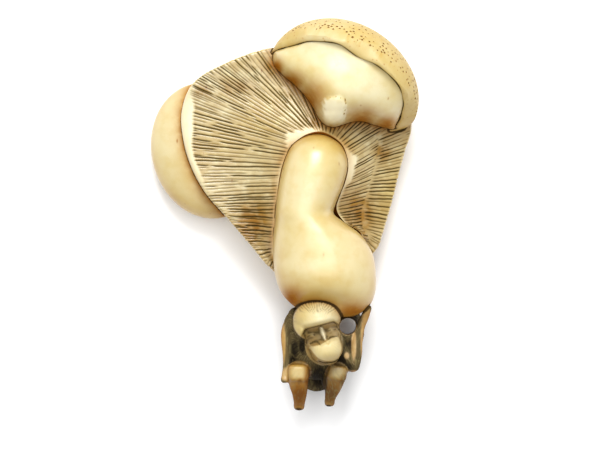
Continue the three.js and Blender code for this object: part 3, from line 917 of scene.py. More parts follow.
def on_head(co):
    """1 on the monkey's head and hair, 0 on its body."""
    across, up = face_axes(co)
    hair = smooth(np.hypot((across + 0.1) / 3.6, (up - 2.3) / 3.05), 1.08, 1.0)
    face = smooth(np.hypot(across / 2.95, (up + 1.75) / 3.15), 1.06, 0.98)
    return np.maximum(hair, face) * smooth(co[:, 2], 10.6, 11.8)


def bump(x, y, centre, size, power=2):
    """A soft round bump of height 1."""
    away = (np.abs((x - centre[0]) / size[0]) ** power + np.abs((y - centre[1]) / size[1]) ** power)
    return np.exp(-away)


def line_away(x, y, points):
    """Distance from each place to a bent line through points."""
    spine = through([(*point, 0) for point in points], np.linspace(0, 1, 24))[:, :2]
    best = np.full(len(x), 9.0)
    for a, b in zip(spine[:-1], spine[1:]):
        along = b - a
        share = np.clip(((x - a[0]) * along[0] + (y - a[1]) * along[1]) / (along @ along), 0, 1)
        best = np.minimum(best, np.hypot(x - a[0] - share * along[0], y - a[1] - share * along[1]))
    return best


def brim_up(across):
    """How far up the face the hair's brim lies."""
    return 1.55 - 0.75 * smooth(np.abs(across), 2.1, 3.1) - 0.9 * smooth(-across, 2.95, 3.4)


def nose(across, up):
    """1 on the narrow ridge of its nose, which is broadest halfway down."""
    width = 0.15 + 0.16 * np.exp(-(((up - 0.2) / 0.7) ** 2))
    ridge = np.exp(-(((across - 0.24 + 0.08 * up) / width) ** 2))
    return ridge * smooth(up, -1.15, -0.7) * smooth(up, 1.25, 0.9)


def on_muzzle(across, up):
    """1 on its bare muzzle, 0 off it."""
    edge = np.array(MUZZLE_EDGE) - MUZZLE_MIDDLE
    edge = through([(*point, 0) for point in edge], np.arange(120) / 120, closed=True)[:, :2]
    angles = np.arctan2(edge[:, 1], edge[:, 0])
    order = np.argsort(angles)
    x, y = across - MUZZLE_MIDDLE[0], up - MUZZLE_MIDDLE[1]
    reaches = np.linalg.norm(edge, axis=1)
    reach = np.interp(np.arctan2(y, x), angles[order], reaches[order], period=2 * math.pi)
    return smooth(np.hypot(x, y) / reach, 1.05, 0.95)


def on_side(point, side):
    """A point of the face on one side of it (1), or mirrored onto the other (-1)."""
    return point[0] * side, point[1]


def face_relief(across, up):
    """Height that carving adds to the head, seen from the front of the face."""
    brim = brim_up(across)
    below = brim - up
    open_face = smooth(below, -0.06, 0.12) * smooth(np.abs(across), 3.0, 2.5) * smooth(up, -1.6, -0.6)
    height = 0.42 * np.exp(-(((up - brim - 0.55) / 0.62) ** 2)) * (below < 0.1)
    height = height * smooth(np.abs(across), 3.9, 3.0)
    height = height - 0.62 * open_face
    for side in (-1, 1):
        height -= 0.35 * bump(across, up, on_side(EYE_SOCKET["centre"], side), EYE_SOCKET["size"])
        height += 0.5 * bump(across, up, on_side(EYEBALL["centre"], side), EYEBALL["size"])
        lid = line_away(across, up, [on_side(point, side) for point in LID_LINE])
        height -= 0.16 * np.exp(-((lid / 0.1) ** 2))
        fold = line_away(across, up, [on_side(point, side) for point in CHEEK_FOLD])
        height -= 0.3 * np.exp(-((fold / 0.17) ** 2))
        nostril, level = on_side(NOSTRIL["centre"], side)
        height -= 0.3 * bump(across, up, (NOSE_LEAN + nostril, level), NOSTRIL["size"])
    height += 0.6 * nose(across, up)
    mouth = line_away(across, up, MOUTH)
    height -= 0.38 * np.exp(-((mouth / 0.13) ** 2))
    lower = line_away(across, up + 0.3, MOUTH)
    height += 0.16 * np.exp(-((lower / 0.16) ** 2))
    return height


def streaks(along, across, pitch, seed, lean=0.0):
    """Short engraved hairs along a surface, leaning to one side: 1 in a hair, 0 between them."""
    flat = along * 0
    bend = noise(np.stack([along / 1.6, across / 1.6, flat], 1), 1, seed) - 0.5
    lane = (across * math.cos(lean) + along * math.sin(lean)) / pitch + 2.2 * bend
    row = np.floor(lane)
    part = np.abs(lane - row - 0.5) * pitch
    start = (along * math.cos(lean) - across * math.sin(lean)) / 1.1 + 7.31 * np.sin(row * 12.9898)
    dash = noise(np.stack([start, row * 3.7, flat], 1), 1, seed + 5)
    return smooth(dash, 0.35, 0.55) * np.exp(-((part / (0.27 * pitch)) ** 2))


def fur(along, across, seed):
    """Two sets of hairs, laid over each other like a herringbone."""
    first = streaks(along, across, HAIR_PITCH, seed, 0.3)
    return np.maximum(first, 0.85 * streaks(along, across, HAIR_PITCH, seed + 2, -0.35))


def spine_places(co, spine):
    """For each point: the distance along the nearest stretch of a spine, its angle round it, its
    distance from it, and the share of the way along it."""
    steps = 24
    line = through(spine, np.linspace(0, 1, steps))
    lengths = np.concatenate([[0], np.cumsum(np.linalg.norm(np.diff(line, axis=0), axis=1))])
    away = np.linalg.norm(co[:, None] - line[None], axis=2)
    nearest = away.argmin(axis=1)
    ahead = np.gradient(line, axis=0)
    ahead /= np.linalg.norm(ahead, axis=1, keepdims=True)
    side = np.cross(ahead, (0, 0, 1))
    side /= np.linalg.norm(side, axis=1, keepdims=True)
    over = np.cross(side, ahead)
    out = co - line[nearest]
    across = np.sum(out * side[nearest], 1)
    above = np.sum(out * over[nearest], 1)
    along = lengths[nearest] + np.sum(out * ahead[nearest], 1)
    return along, np.arctan2(above, across), away.min(axis=1), nearest / (steps - 1)


def monkey():
    parts = [lump(name, **form, segments=48, rings=32) for name, form in MONKEY_LUMPS.items()]
    parts += [limb(name, **form) for name, form in MONKEY_LIMBS.items()]
    for part in parts:
        move_points(part, settle(points_of(part)))
    body = fuse("monkey", parts, MONKEY_GRAIN, 5)
    co = points_of(body)
    normal = normals_of(body)

    # the head's carving goes straight down into it, and fades out on its sides
    across, up = face_axes(co)
    head = smooth(co[:, 2], 11.2, 12.8) * smooth(normal[:, 2], 0.0, 0.4) * (np.abs(across) < 4.2)
    head *= smooth(up, -5.6, -5.0) * smooth(up, 4.5, 3.5)
    co[:, 2] += head * face_relief(across, up)

    # the engraved hairs, along the limb that each place is nearest to
    closest = np.full(len(co), 9.0)
    # the trunk's fur runs outwards from the neck, and down its sides
    out_x, out_y = co[:, 0] - FUR_MIDDLE[0], co[:, 1] - FUR_MIDDLE[1]
    fan = 5 * np.arctan2(out_x, -out_y)
    fall = np.hypot(out_x, out_y) - co[:, 2]
    hairs = fur(fall, fan, 30)
    nap = np.stack([fan, fall / FUR_STRETCH, fall * 0], 1)
    arm = np.zeros(len(co))
    leg = near_patches(co, KNEES) * smooth(co[:, 2], 7.6, 8.6)
    for index, (name, form) in enumerate(MONKEY_LIMBS.items()):
        along, angle, away, share = spine_places(co, form["spine"])
        reach = len(form["radii"]) - 1
        sizes = [(step / reach, radius, 0) for step, radius in enumerate(form["radii"])]
        proud = away - through(sizes, share)[:, 1]
        if name in ARMS:
            arm = np.maximum(arm, smooth(proud, 0.45, 0.15))
        if name in SHINS:
            leg = np.maximum(leg, smooth(proud, 0.6, 0.3))
        radius = np.mean(form["radii"])
        mine = (away / radius < closest) & (away < radius * 1.5)
        closest = np.where(mine, away / radius, closest)
        strength = ARM_HAIRS.get(name, 0.0)
        hairs = np.where(mine, strength * streaks(along, angle * radius, HAIR_PITCH, index), hairs)
        lanes = np.stack([angle * radius, along / FUR_STRETCH, along * 0 + 20 * index], 1)
        nap = np.where((mine & (name in ARMS))[:, None], lanes, nap)
    hair_x, hair_y = across + 0.1, up - 2.3
    hair_rim = np.hypot(hair_x / 3.5, hair_y / 2.9)
    comb = np.arctan2(hair_y, hair_x) * 2.9 / COMB_PITCH + 0.5 * noise(co[:, :3] * (1, 1, 0), 0.5, 9)
    comb = np.abs(comb % 1 - 0.5) * COMB_PITCH
    ends = noise(np.stack([np.arctan2(hair_y, hair_x) * 12, hair_x * 0, hair_x * 0], 1), 1, 8)
    fringe = smooth(co[:, 1] - 1.2 * ends, -15.3, -14.7)
    crest = 0.6 * smooth(hair_rim, 0.82 + 0.2 * ends, 0.94 + 0.2 * ends) * smooth(up, 2.4, 3.4)
    fringe = np.maximum(fringe, crest)
    combed = np.exp(-((comb / 0.08) ** 2)) * fringe
    hairs = np.where(on_head(co) > 0.02, 0, hairs)
    hairs = np.maximum(hairs, combed * smooth(co[:, 2], 10.5, 12.0) * smooth(hair_rim, 1.12, 1.02))
    co -= normal * (HAIR_DEPTH * hairs)[:, None]
    field(body, "hairs", hairs)
    field(body, "nap", nap, "FLOAT_VECTOR")
    field(body, "arm", arm)
    field(body, "leg", np.minimum(leg, 1))
    move_points(body, co)
    # its plain underside needs fewer faces
    return thin_out(mark(body, MONKEY), 4.5, 0.3)


# --- The carving ----------------------------------------------------------------------------------


def carving():
    whole = gilled_cap()
    side = mark(lump("side_cap", **SIDE_CAP, segments=96, rings=60), SIDE)
    side_stem = mark(limb("side_stem", **SIDE_STEM), SIDE)
    for form in (side, side_stem):
        move_points(form, settle(points_of(form)))
    for form in (stem(), bud_cap(), veil(), side, side_stem, monkey()):
        combine(whole, form, "UNION")
    deselect()
    bpy.ops.mesh.primitive_cube_add(size=1, location=(0, 0, -10), scale=(100, 100, 20))
    combine(whole, mark(bpy.context.object, TABLE), "DIFFERENCE")
    deselect()
    bpy.ops.mesh.primitive_cylinder_add(
        vertices=64, radius=CORD_HOLE_RADIUS, depth=60, location=(*CORD_HOLE_CENTRE, 0)
    )
    combine(whole, mark(bpy.context.object, HOLE), "DIFFERENCE")
    take(whole)
    bpy.ops.object.mode_set(mode="EDIT")
    bpy.ops.mesh.select_all(action="SELECT")
    bpy.ops.mesh.remove_doubles(threshold=0.004)
    bpy.ops.mesh.quads_convert_to_tris(quad_method="BEAUTY", ngon_method="BEAUTY")
    bpy.ops.object.mode_set(mode="OBJECT")
    return whole


def edges_of(obj):
    """The two points of each edge."""
    out = np.zeros(len(obj.data.edges) * 2, np.int32)
    obj.data.edges.foreach_get("vertices", out)
    return out.reshape(-1, 2)


def corners_of(obj):
    """The three points of each triangle."""
    out = np.zeros(len(obj.data.loops), np.int32)
    obj.data.loops.foreach_get("vertex_index", out)
    return out.reshape(-1, 3)


def search_tree(places):
    """A tree that finds the nearest of places."""
    tree = kdtree.KDTree(len(places))
    for index, place in enumerate(places):
        tree.insert(place, index)
    tree.balance()
    return tree


def creases(obj, co):
    """Distance of each point from the nearest line where two forms meet, with that line's look."""
    form = field(obj, "form")
    corners = corners_of(obj)
    pairs = {}
    for face, (a, b, c) in enumerate(corners.tolist()):
        for edge in ((a, b), (b, c), (c, a)):
            pairs.setdefault((min(edge), max(edge)), []).append(form[face])
    places, kinds = [], []
    for (a, b), forms in pairs.items():
        if len(forms) == 2 and forms[0] != forms[1]:
            kind = CREASES.get((min(forms), max(forms)))
            if kind:
                span = max(1, int(np.linalg.norm(co[b] - co[a]) / 0.12))
                for step in range(span + 1):
                    places.append(co[a] + (co[b] - co[a]) * step / span)
                    kinds.append(kind)
    tree = search_tree(places)
    away = np.full(len(co), CREASE_REACH)
    line = np.zeros(len(co))
    wash = np.zeros(len(co))
    for index, place in enumerate(co.tolist()):
        _, nearest, distance = tree.find(place)
        away[index] = min(distance, CREASE_REACH)
        line[index], wash[index] = kinds[nearest]
    return away, line, wash


def spread(values, edges, passes):
    """Averages values over their neighbours."""
    count = len(values)
    degree = np.bincount(edges.ravel(), minlength=count).astype(float)
    degree[degree == 0] = 1
    values = np.array(values, float)
    columns = values.reshape(count, -1)
    for _ in range(passes):
        total = np.empty_like(columns)
        for k in range(columns.shape[1]):
            column = columns[:, k]
            total[:, k] = np.bincount(edges[:, 0], column[edges[:, 1]], count)
            total[:, k] += np.bincount(edges[:, 1], column[edges[:, 0]], count)
        columns = 0.5 * columns + 0.5 * total / degree[:, None]
    return columns.reshape(values.shape)


def hollows(co, normal, edges, passes):
    """How far each point lies below its surroundings, in millimetres."""
    return np.sum((spread(co, edges, passes) - co) * normal, axis=1)


def shade(obj, co, normal, which, reach):
    """The share of directions that are closed off near each point of which."""
    tree = BVHTree.FromPolygons(co.tolist(), corners_of(obj).tolist())
    golden = math.pi * (3 - math.sqrt(5))
    rays = 24
    height = 1 - (np.arange(rays) + 0.5) / rays
    ring = np.sqrt(1 - height**2)
    turns = golden * np.arange(rays)
    ball = np.stack([ring * np.cos(turns), ring * np.sin(turns), height], 1)
    out = np.zeros(len(co))
    for index in which.tolist():
        up = Vector(normal[index])
        away = up.to_track_quat("Z", "X")
        start = Vector(co[index]) + up * 0.03
        blocked = 0
        for ray in ball:
            blocked += tree.ray_cast(start, away @ Vector(ray), reach)[0] is not None
        out[index] = blocked / rays
    return out


def side_cap_creases(co, normal, point_form, away, line, wash):
    """Moves the side cap's crease to where the large cap's edge lies over it."""
    # where the large cap rests on the side cap's stem, only a faint stain
    middle, radii = np.array(SIDE_CAP["centre"])[:2], np.array(SIDE_CAP["radii"])[:2]
    beside = np.sum(((co[:, :2] - middle) / radii) ** 2, axis=1) > DOME_EDGE
    hidden = beside & (line == CREASES[(CAP, SIDE)][0])
    line[hidden] = 0.01
    wash[hidden] *= 0.4

    share = np.arange(OUTLINE_STEPS) / OUTLINE_STEPS
    outline = through([rib[1] for rib in CAP_RIBS], share, closed=True)
    tree = search_tree(outline * (1, 1, 0))
    for index in np.nonzero((point_form == SIDE) & ~beside)[0]:
        nearest, at, plan = tree.find((co[index, 0], co[index, 1], 0))
        ahead = outline[(at + 1) % OUTLINE_STEPS] - outline[at - 1]
        if (co[index, 0] - nearest[0]) * ahead[1] - (co[index, 1] - nearest[1]) * ahead[0] < 0:
            plan = -plan if plan < UNDER_LIP else plan - UNDER_LIP
        plan += 3 * smooth(normal[index, 2], 0.4, 0.1)
        if plan < away[index]:
            away[index], (line[index], wash[index]) = plan, CREASES[(CAP, SIDE)]


def body_tones(body, co, normal, hollow, closed, on_monkey, head, legs, stain_and_shade):
    """Olive coat, near-black fur and brown wash of the monkey's body: dark in its fur, and darkest as
    painted shade where it is closed off and in the deep patches; worn where it stands proud, brown on its
    shins."""
    knees = near_patches(co, WORN_KNEES) * smooth(co[:, 2], 8.0, 9.5)
    arms = near_patches(co, WORN_ARMS) * smooth(co[:, 2], 6.5, 8.5) * field(body, "arm")
    coat = on_monkey * (1 - head) * (1 - smooth(legs + knees, 0.2, 0.7))
    coat *= 1 - 0.9 * smooth(arms + 0.15 * hollow, 0.15, 0.6)
    # the fur darkens where it is closed off and in hollows: fur dirt, and painted shade
    fur_dirt_and_shade = np.clip(0.25 + 0.9 * smooth(closed, 0.25, 0.7) + 0.25 * hollow, 0, 1)
    soot_and_shade = on_monkey * (1 - head) * fur_dirt_and_shade
    soot_and_shade *= 1 - smooth(np.maximum(knees, arms), 0.2, 0.6)
    # near-black painted shade in the deep patches
    deep = near_patches(co, DEEP_SHADES)
    soot_and_shade = np.where(legs > 0.5, 0.6 * soot_and_shade, np.maximum(soot_and_shade, 1.4 * deep * on_monkey * (1 - head)))
    # dark toes, and painted shade on the right leg's inner side
    toes_and_leg_shade = smooth(near_patches(co, DARK_TOES_AND_LEG_SHADE), 0.3, 0.7) * on_monkey
    soot_and_shade = np.maximum(soot_and_shade, 0.85 * toes_and_leg_shade)
    brown = 0.55 + 0.6 * near_patches(co, BROWN_SHINS)
    brown = brown + 0.15 * smooth(normal[:, 2], 0.6, 0.1) - 0.75 * knees
    stain_and_shade = np.where(on_monkey, np.maximum(stain_and_shade, (1 - head) * np.clip(brown, 0, 1)), stain_and_shade)
    return coat, soot_and_shade, stain_and_shade


def add_face_tones(tones, co, hollow, closed, on_monkey, head, hairs):
    """Its face: brown and lined, with a bare muzzle and a worn ridge to its nose."""
    across, up = face_axes(co)
    opening = smooth(brim_up(across) - up, -0.03, 0.1)
    muzzle = on_muzzle(across, up) * smooth(co[:, 2], 12.5, 13.5)
    brown_face = head * opening * (1 - muzzle)
    lids = sum(
        0.5 * bump(across, up, on_side(EYELID["centre"], side), EYELID["size"]) for side in (-1, 1)
    )
    worn = 1 - 0.9 * np.clip(1.4 * nose(across, up) + lids, 0, 1) * brown_face
    # engraved lines, and painted shade where the face is closed off
    lines_and_shade = 0.75 * smooth(closed, 0.25, 0.7) + 1.1 * np.clip(hollow, 0, 1)

    stain_and_shade = np.maximum(tones["stain_and_shade"], brown_face * 0.4) * worn
    # painted shade on the head where it is closed off, except on the muzzle
    stain_and_shade = np.maximum(stain_and_shade, head * smooth(closed, 0.35, 0.8) * (1 - muzzle) * 0.8)
    tones["stain_and_shade"] = stain_and_shade * (1 - 0.9 * head * muzzle)
    tones["coat"] = np.maximum(tones["coat"], 0.4 * brown_face * worn)
    # ink of the face's lines, partly painted shade where it is closed off
    ink = np.maximum(tones["ink"], brown_face * np.clip(0.05 + 0.6 * lines_and_shade, 0, 0.8) * worn)
    mouth = line_away(across, up, MOUTH)
    ink = np.maximum(ink, head * np.exp(-((mouth / 0.16) ** 2)) * 0.95)
    tones["ink"] = np.maximum(ink, head * hairs * 0.6)
    bare = np.clip(0.5 * nose(across, up) * opening + 0.12 * muzzle + 0.05, 0, 1)
    pale_and_highlight = np.maximum(tones["pale_and_highlight"], head * bare * (1 - brown_face))
    tones["pale_and_highlight"] = np.maximum(pale_and_highlight, brown_face * 0.6 * nose(across, up))
    shadow = on_monkey * smooth(closed, 0.5, 0.85) * (1 - muzzle) * 0.9
    tones["soot_and_shade"] = np.maximum(tones["soot_and_shade"], shadow)


def finish_fields(body):
    """Fields that tell the finish where dirt, wear and brown wash lie, and where shade and highlights are
    painted.

    stain_and_shade: a warm brown wash, with painted shade on the monkey's head; soot_and_shade: the
    near-black of uncleaned fur, with painted shade where it is closed off; pale_and_highlight: worn
    places, with a painted highlight on the large cap's lip and the stalk's worn end; tan: honey
    patina, with painted shade on the flanks."""
    co = points_of(body)
    normal = normals_of(body)
    edges = edges_of(body)
    form = field(body, "form")
    point_form = np.zeros(len(co), int)
    point_form[corners_of(body).ravel()] = np.repeat(form, 3)
    on_monkey = point_form == MONKEY
    on_bud = np.isin(point_form, (BUD, PIT))

    away, line, wash = creases(body, co)
    hollow = np.clip(hollows(co, normal, edges, 3) / DEEP_HOLLOW, -1, 1)
    closed = shade(body, co, normal, np.nonzero(on_monkey)[0], SHADE_REACH)
    closed = spread(closed, edges, 2)
    side_cap_creases(co, normal, point_form, away, line, wash)

    crease_wash = wash * np.exp(-np.maximum(away, 0) / CREASE_FADE)
    veil_wash = 1.6 * near_patches(co, VEIL_STAINS) * (point_form == VEIL)
    veil_wash = veil_wash * np.exp(-away / VEIL_STAIN_FADE)
    bulb_wash = 0.9 * near_patches(co, BULB_STAINS) * (point_form == STEM)
    stain_and_shade = np.maximum(crease_wash, 0.95 * field(body, "groove"))
    stain_and_shade = np.maximum(stain_and_shade, np.maximum(veil_wash, bulb_wash))

    # the worn end of the broken stalk is pale, partly a painted highlight, with a ragged edge
    ragged = 1.2 * (noise(co, 0.5, 12) - 0.5)
    on_knob = smooth(knob_square(co) + ragged, 1.5, 0.3) * (point_form == VEIL)
    # on the large cap's lip and collars the pale is worn and partly a painted highlight
    pale_and_highlight = np.maximum(0.55 * on_knob, 0.45 * field(body, "lip"))
    stain_and_shade *= 1 - 0.9 * on_knob * smooth(away, 0.1, 0.5)
    line += WIDE_SEAM[4] * near_patches(co, [WIDE_SEAM[:4]])
    # the plain sides below keep a soft stain, without the dark line
    low = smooth(normal[:, 2], 0.25, -0.05) * (co[:, 2] < 9.5)
    line *= 1 - np.isin(point_form, (CAP, SIDE)) * low

    head = on_head(co) * on_monkey
    legs = smooth(field(body, "leg"), 0.2, 0.7)
    coat, soot_and_shade, stain_and_shade = body_tones(body, co, normal, hollow, closed, on_monkey, head, legs, stain_and_shade)
    tones = {"stain_and_shade": stain_and_shade, "ink": field(body, "ink"), "soot_and_shade": soot_and_shade, "pale_and_highlight": pale_and_highlight, "coat": coat}
    add_face_tones(tones, co, hollow, closed, on_monkey, head, field(body, "hairs"))

    # honey on the flanks, and most towards the lower end: partly patina, partly painted shade on the sides
    # that face away from the camera and the key light
    tan = 0.8 * smooth(normal[:, 2], 0.97, 0.1) + 0.45 * smooth(-normal[:, 1], 0, 0.8)
    tan = np.where(on_bud, 0.25 + 0.5 * tan, tan * (1 - 0.6 * (point_form == VEIL)))
    tan = np.where(np.isin(point_form, (STEM, SIDE)), 0.22 + 0.75 * tan, tan)
    tones["tan"] = tan * (1 - 0.55 * head) + 0.12 * head + 0.4 * legs
    darker = np.where(co[:, 0] > BETWEEN_LEGS, RIGHT_LEG_DARKER, LEFT_LEG_DARKER)
    darker = darker + 0.25 * near_patches(co, BROWN_SHINS)
    coat = np.maximum(tones["coat"], 0.09 * head + 0.05 * on_bud)
    tones["coat"] = np.maximum(coat, darker * legs)
    tones["dull"] = np.maximum(0.6 * head, 0.5 * legs)

    engraved = np.where(on_monkey, tones["coat"], 0.5 * field(body, "engraved"))
    field(body, "engraved", engraved)
    for name, tone in tones.items():
        field(body, name, np.clip(tone, 0, 1))
    field(body, "crease", away)
    field(body, "line", line)
    field(body, "pit", form == PIT, "FLOAT", "FACE")
    field(body, "freckled", on_bud * smooth(away, 0.3, 0.8))


body = carving()
body.name = "netsuke_carving"
take(body)
bpy.ops.object.shade_smooth_by_angle(angle=math.radians(38))
finish_fields(body)
move_points(body, (points_of(body) + CENTRING) * MM)

# --- Finish ---------------------------------------------------------------------------------------


def srgb(code):
    """A hex colour as linear red, green, blue and alpha."""
    values = [int(code[i : i + 2], 16) / 255 for i in (1, 3, 5)]
    linear = [v / 12.92 if v <= 0.04045 else ((v + 0.055) / 1.055) ** 2.4 for v in values]
    return (*linear, 1)


def add(material, kind, inputs=None, **settings):
    """Adds a node to a material, with its settings, and its inputs as values or sockets to link."""
    made = material.node_tree.nodes.new(kind)
    for key, value in settings.items():
        setattr(made, key, value)
    for key, value in (inputs or {}).items():
        if isinstance(value, bpy.types.NodeSocket):
            material.node_tree.links.new(value, made.inputs[key])
        else:
            made.inputs[key].default_value = value
    return made


FIELDS = (
    "tan", "dirt", "stain_and_shade", "pale_and_highlight", "pit", "coat", "soot_and_shade", "ink", "crease", "line", "engraved",
    "freckled", "dull",
)


def polished_ivory():
    """Old ivory, carved, stained and polished by years of handling.

    Cream where it is worn, honey on its flanks, brown where dirt has gathered; a soft wax gloss.
    Painted shade deepens the honey on the flanks and the fur's near-black, and a painted highlight
    brightens the large cap's lip."""
    ivory = bpy.data.materials.new("polished_ivory")
    ivory.use_nodes = True
    shader = ivory.node_tree.nodes["Principled BSDF"]
    place = add(ivory, "ShaderNodeTexCoord").outputs["Object"]
    nap = add(ivory, "ShaderNodeAttribute", attribute_name="nap").outputs["Vector"]

    # the fields kept on the carving
    kept = {}
    for name in FIELDS:
        kept[name] = add(ivory, "ShaderNodeAttribute", attribute_name=name).outputs["Fac"]

    # uneven masks: where the noise lies, the size of its blobs, its detail, and the values that
    # it is spread between
    masks = {}
    for name, where, size, detail, start, end in (
        ("broad", place, 9 * MM, 3, 0.35, 0.68),
        ("mottle", place, 1.8 * MM, 4, 0.42, 0.72),
        ("worn", place, 4 * MM, 2, 0.42, 0.56),
        ("freckled", place, 1.5 * MM, 2, 0.45, 0.6),
        ("dirty", place, 1.6 * MM, 3, 0.05, 0.6),
        ("patchy", place, 1.1 * MM, 3, 0.2, 0.6),
        ("grain", place, 0.5 * MM, 3, 0.0, 1.0),
        ("hairs", nap, HAIRLINE_SIZE, 2, 0.48, 0.64),
    ):
        inputs = {"Vector": where, "Scale": 1 / size, "Detail": detail}
        blobs = add(ivory, "ShaderNodeTexNoise", inputs).outputs["Fac"]
        inputs = {"Value": blobs, 1: start, 2: end}
        masks[name] = add(ivory, "ShaderNodeMapRange", inputs, interpolation_type="SMOOTHSTEP").outputs[0]

    # the ivory's pores: short brown specks, and many finer ones on the bud's cap
    for name, size, stretch, start, end in (
        ("pores", 2.1 * MM, 0.45, 0.1, 0.035),
        ("pinpricks", 0.62 * MM, 1, 0.3, 0.12),
    ):
        inputs = {"Vector": place, "Scale": (1.0, stretch, 1.0)}
        scaled = add(ivory, "ShaderNodeMapping", inputs).outputs[0]
        inputs = {"Vector": scaled, "Scale": 1 / size}
        cells = add(ivory, "ShaderNodeTexVoronoi", inputs).outputs["Distance"]
        masks[name] = add(ivory, "ShaderNodeMapRange", {"Value": cells, 1: start, 2: end}).outputs[0]

    # the dark line where two forms meet, a little uneven
    wobble = add(ivory, "ShaderNodeMath", {0: masks["grain"], 1: 0.14}, operation="MULTIPLY").outputs[0]
    edge = add(ivory, "ShaderNodeMath", {0: kept["crease"], 1: wobble}, operation="ADD").outputs[0]
    wide = add(ivory, "ShaderNodeMath", {0: kept["line"], 1: 1.6}, operation="MULTIPLY").outputs[0]
    inputs = {"Value": edge, 1: wide, 2: kept["line"]}
    masks["crease"] = add(ivory, "ShaderNodeMapRange", inputs, interpolation_type="SMOOTHSTEP").outputs[0]

    # layers of colour, from the ivory outwards: colour, how it lies on, its strength and its masks
    colour = srgb("#cfc6a0")
    for code, blend, strength, *where in (
        ("#f1e6be", "MULTIPLY", 1.0, masks["broad"]),  # warmer clouds
        # honey patina on the flanks, with painted shade on the sides that face away from the key light
        ("#e8c976", "MULTIPLY", 1.0, kept["tan"]),  # honey flanks
        ("#f0dfae", "MULTIPLY", 0.3, masks["mottle"]),
        ("#9a7036", "MIX", 0.85, masks["pores"], masks["worn"]),
        ("#a87a38", "MIX", 0.7, masks["pinpricks"], masks["freckled"], kept["freckled"]),
        ("#b5964a", "MULTIPLY", 1.0, kept["dirt"], masks["dirty"]),  # warm dirt in the gills
        # tea-brown stain; on the monkey's head it also holds painted shade
        ("#a06c16", "MIX", 0.6, kept["stain_and_shade"], masks["patchy"]),  # tea-brown stain
        ("#d39c2a", "MULTIPLY", 0.95, kept["stain_and_shade"]),
        # rubbed pale, and a painted highlight on the large cap's lip, collars and the stalk's worn end
        ("#ece5c8", "MIX", 1.0, kept["pale_and_highlight"]),  # rubbed pale
        ("#805a2c", "MIX", 0.9, kept["pit"]),
        ("#564a30", "MIX", 0.95, kept["coat"]),  # olive-brown fur
        ("#94865a", "MIX", 0.6, kept["coat"], masks["hairs"]),
        # near-black of the fur, with painted shade where it is closed off and in the deep patches
        ("#1c1710", "MIX", 0.97, kept["soot_and_shade"]),  # near-black in the deep fur
        ("#4e4426", "MIX", 0.25, kept["engraved"], masks["hairs"]),
        ("#46341a", "MIX", 0.95, masks["crease"]),
        # dark ink of the engraved lines; on the face also painted shade
        ("#352c14", "MIX", 0.95, kept["ink"]),
    ):
        factor = strength
        for mask in where:
            inputs = {0: factor, 1: mask}
            product = add(ivory, "ShaderNodeMath", inputs, operation="MULTIPLY", use_clamp=True)
            factor = product.outputs[0]
        inputs = {"Factor": factor, 6: colour, 7: srgb(code)}
        colour = add(ivory, "ShaderNodeMix", inputs, data_type="RGBA", blend_type=blend).outputs[2]
    ivory.node_tree.links.new(colour, shader.inputs["Base Color"])

    # dirt and soot are matt; the rest has a coat of wax
    matt = add(ivory, "ShaderNodeMath", {0: kept["soot_and_shade"], 1: kept["ink"]}, operation="MAXIMUM").outputs[0]
    rubbed = add(ivory, "ShaderNodeMath", {0: kept["freckled"], 1: 0.5}, operation="MULTIPLY").outputs[0]
    for mask in (masks["crease"], kept["coat"], kept["stain_and_shade"], kept["pit"], kept["dull"], rubbed):
        matt = add(ivory, "ShaderNodeMath", {0: matt, 1: mask}, operation="MAXIMUM").outputs[0]
    rough = add(ivory, "ShaderNodeMapRange", {"Value": matt, 3: 0.38, 4: 0.75}).outputs[0]
    waxed = add(ivory, "ShaderNodeMapRange", {"Value": matt, 2: 0.8, 3: 1.0, 4: 0.0}).outputs[0]
    ivory.node_tree.links.new(rough, shader.inputs["Roughness"])
    ivory.node_tree.links.new(waxed, shader.inputs["Coat Weight"])
    for name, value in (
        ("Coat Roughness", 0.32),
        ("Coat IOR", 1.6),
        ("IOR", 1.12),
        ("Subsurface Weight", 0.1),
        ("Subsurface Radius", (1.0, 0.75, 0.4)),
        ("Subsurface Scale", 0.0004),
    ):
        shader.inputs[name].default_value = value

    # faint unevenness, and the hairs' fine grooves
    inputs = {0: masks["hairs"], 1: kept["engraved"]}
    hairline = add(ivory, "ShaderNodeMath", inputs, operation="MULTIPLY").outputs[0]
    low = add(ivory, "ShaderNodeMath", {0: masks["grain"], 1: 0.3}, operation="MULTIPLY").outputs[0]
    height = add(ivory, "ShaderNodeMath", {0: low, 1: hairline}, operation="SUBTRACT").outputs[0]
    inputs = {"Strength": 0.6, "Distance": 0.0001, "Height": height}
    relief = add(ivory, "ShaderNodeBump", inputs).outputs[0]
    ivory.node_tree.links.new(relief, shader.inputs["Normal"])
    return ivory


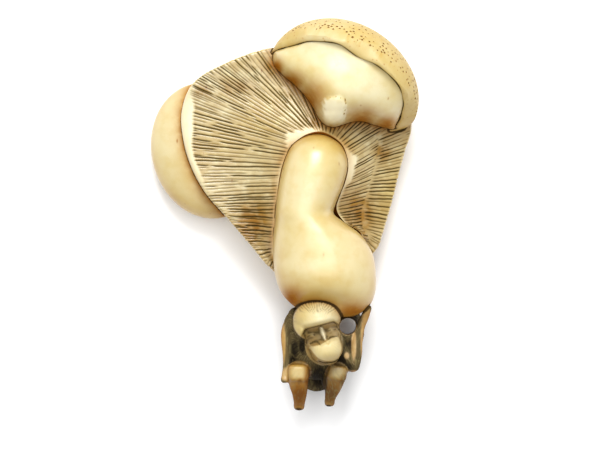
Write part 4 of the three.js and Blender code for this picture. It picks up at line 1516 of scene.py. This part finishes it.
body.data.materials.clear()
body.data.materials.append(polished_ivory())
body.data.polygons.foreach_set("material_index", np.zeros(len(body.data.polygons), np.int32))
for name in ("form", "hairs", "groove", "lip", "arm", "leg"):
    body.data.attributes.remove(body.data.attributes[name])

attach(body, "root")
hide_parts("netsuke")

# --- Camera, floor and light ----------------------------------------------------------------------

VIEW_WIDTH = 92.3077 * MM  # what the camera takes in from side to side
AIM = Vector((2.23 + CENTRING[0], -1.23 + CENTRING[1], 10)) * MM
LENS, SENSOR = 300, 36
FLOOR_SIZE = 3
FLOOR_DROP = 0.00005  # the floor lies this far under the carving

camera = bpy.data.cameras.new("camera")
camera.lens = LENS
camera.sensor_width = SENSOR
camera.clip_end = 10
seat = bpy.data.objects.new("camera", camera)
seat.location = AIM + Vector((0, 0, VIEW_WIDTH * LENS / SENSOR))
bpy.context.collection.objects.link(seat)
bpy.context.scene.camera = seat

deselect()
bpy.ops.mesh.primitive_plane_add(size=FLOOR_SIZE, location=(0, 0, -FLOOR_DROP))
floor = bpy.context.object
floor.name = "floor"
# matt white paper, with a little light of its own so that it stays white
paper = bpy.data.materials.new("white_paper")
paper.use_nodes = True
for name, value in (
    ("Base Color", (0.9, 0.9, 0.9, 1)),
    ("Roughness", 0.9),
    ("Emission Color", (1, 1, 1, 1)),
    ("Emission Strength", 0.05),
):
    paper.node_tree.nodes["Principled BSDF"].inputs[name].default_value = value
floor.data.materials.append(paper)


def soft_box(name, place, size, power):
    light = bpy.data.lights.new(name, "AREA")
    light.shape = "RECTANGLE"
    light.size, light.size_y = size
    light.energy = power
    box = bpy.data.objects.new(name, light)
    box.location = place
    box.rotation_euler = (-Vector(place)).to_track_quat("-Z", "Y").to_euler()
    bpy.context.collection.objects.link(box)


soft_box("window", (0.0, 0.44, 0.56), (0.3, 0.22), 4.9)
soft_box("ceiling", (0.0, 0.1, 1.15), (1.1, 1.1), 10.0)

world = bpy.data.worlds.new("studio")
world.use_nodes = True
world.node_tree.nodes["Background"].inputs["Color"].default_value = (1, 1, 1, 1)
world.node_tree.nodes["Background"].inputs["Strength"].default_value = 0.45
bpy.context.scene.world = world
bpy.context.scene.view_settings.view_transform = "Standard"
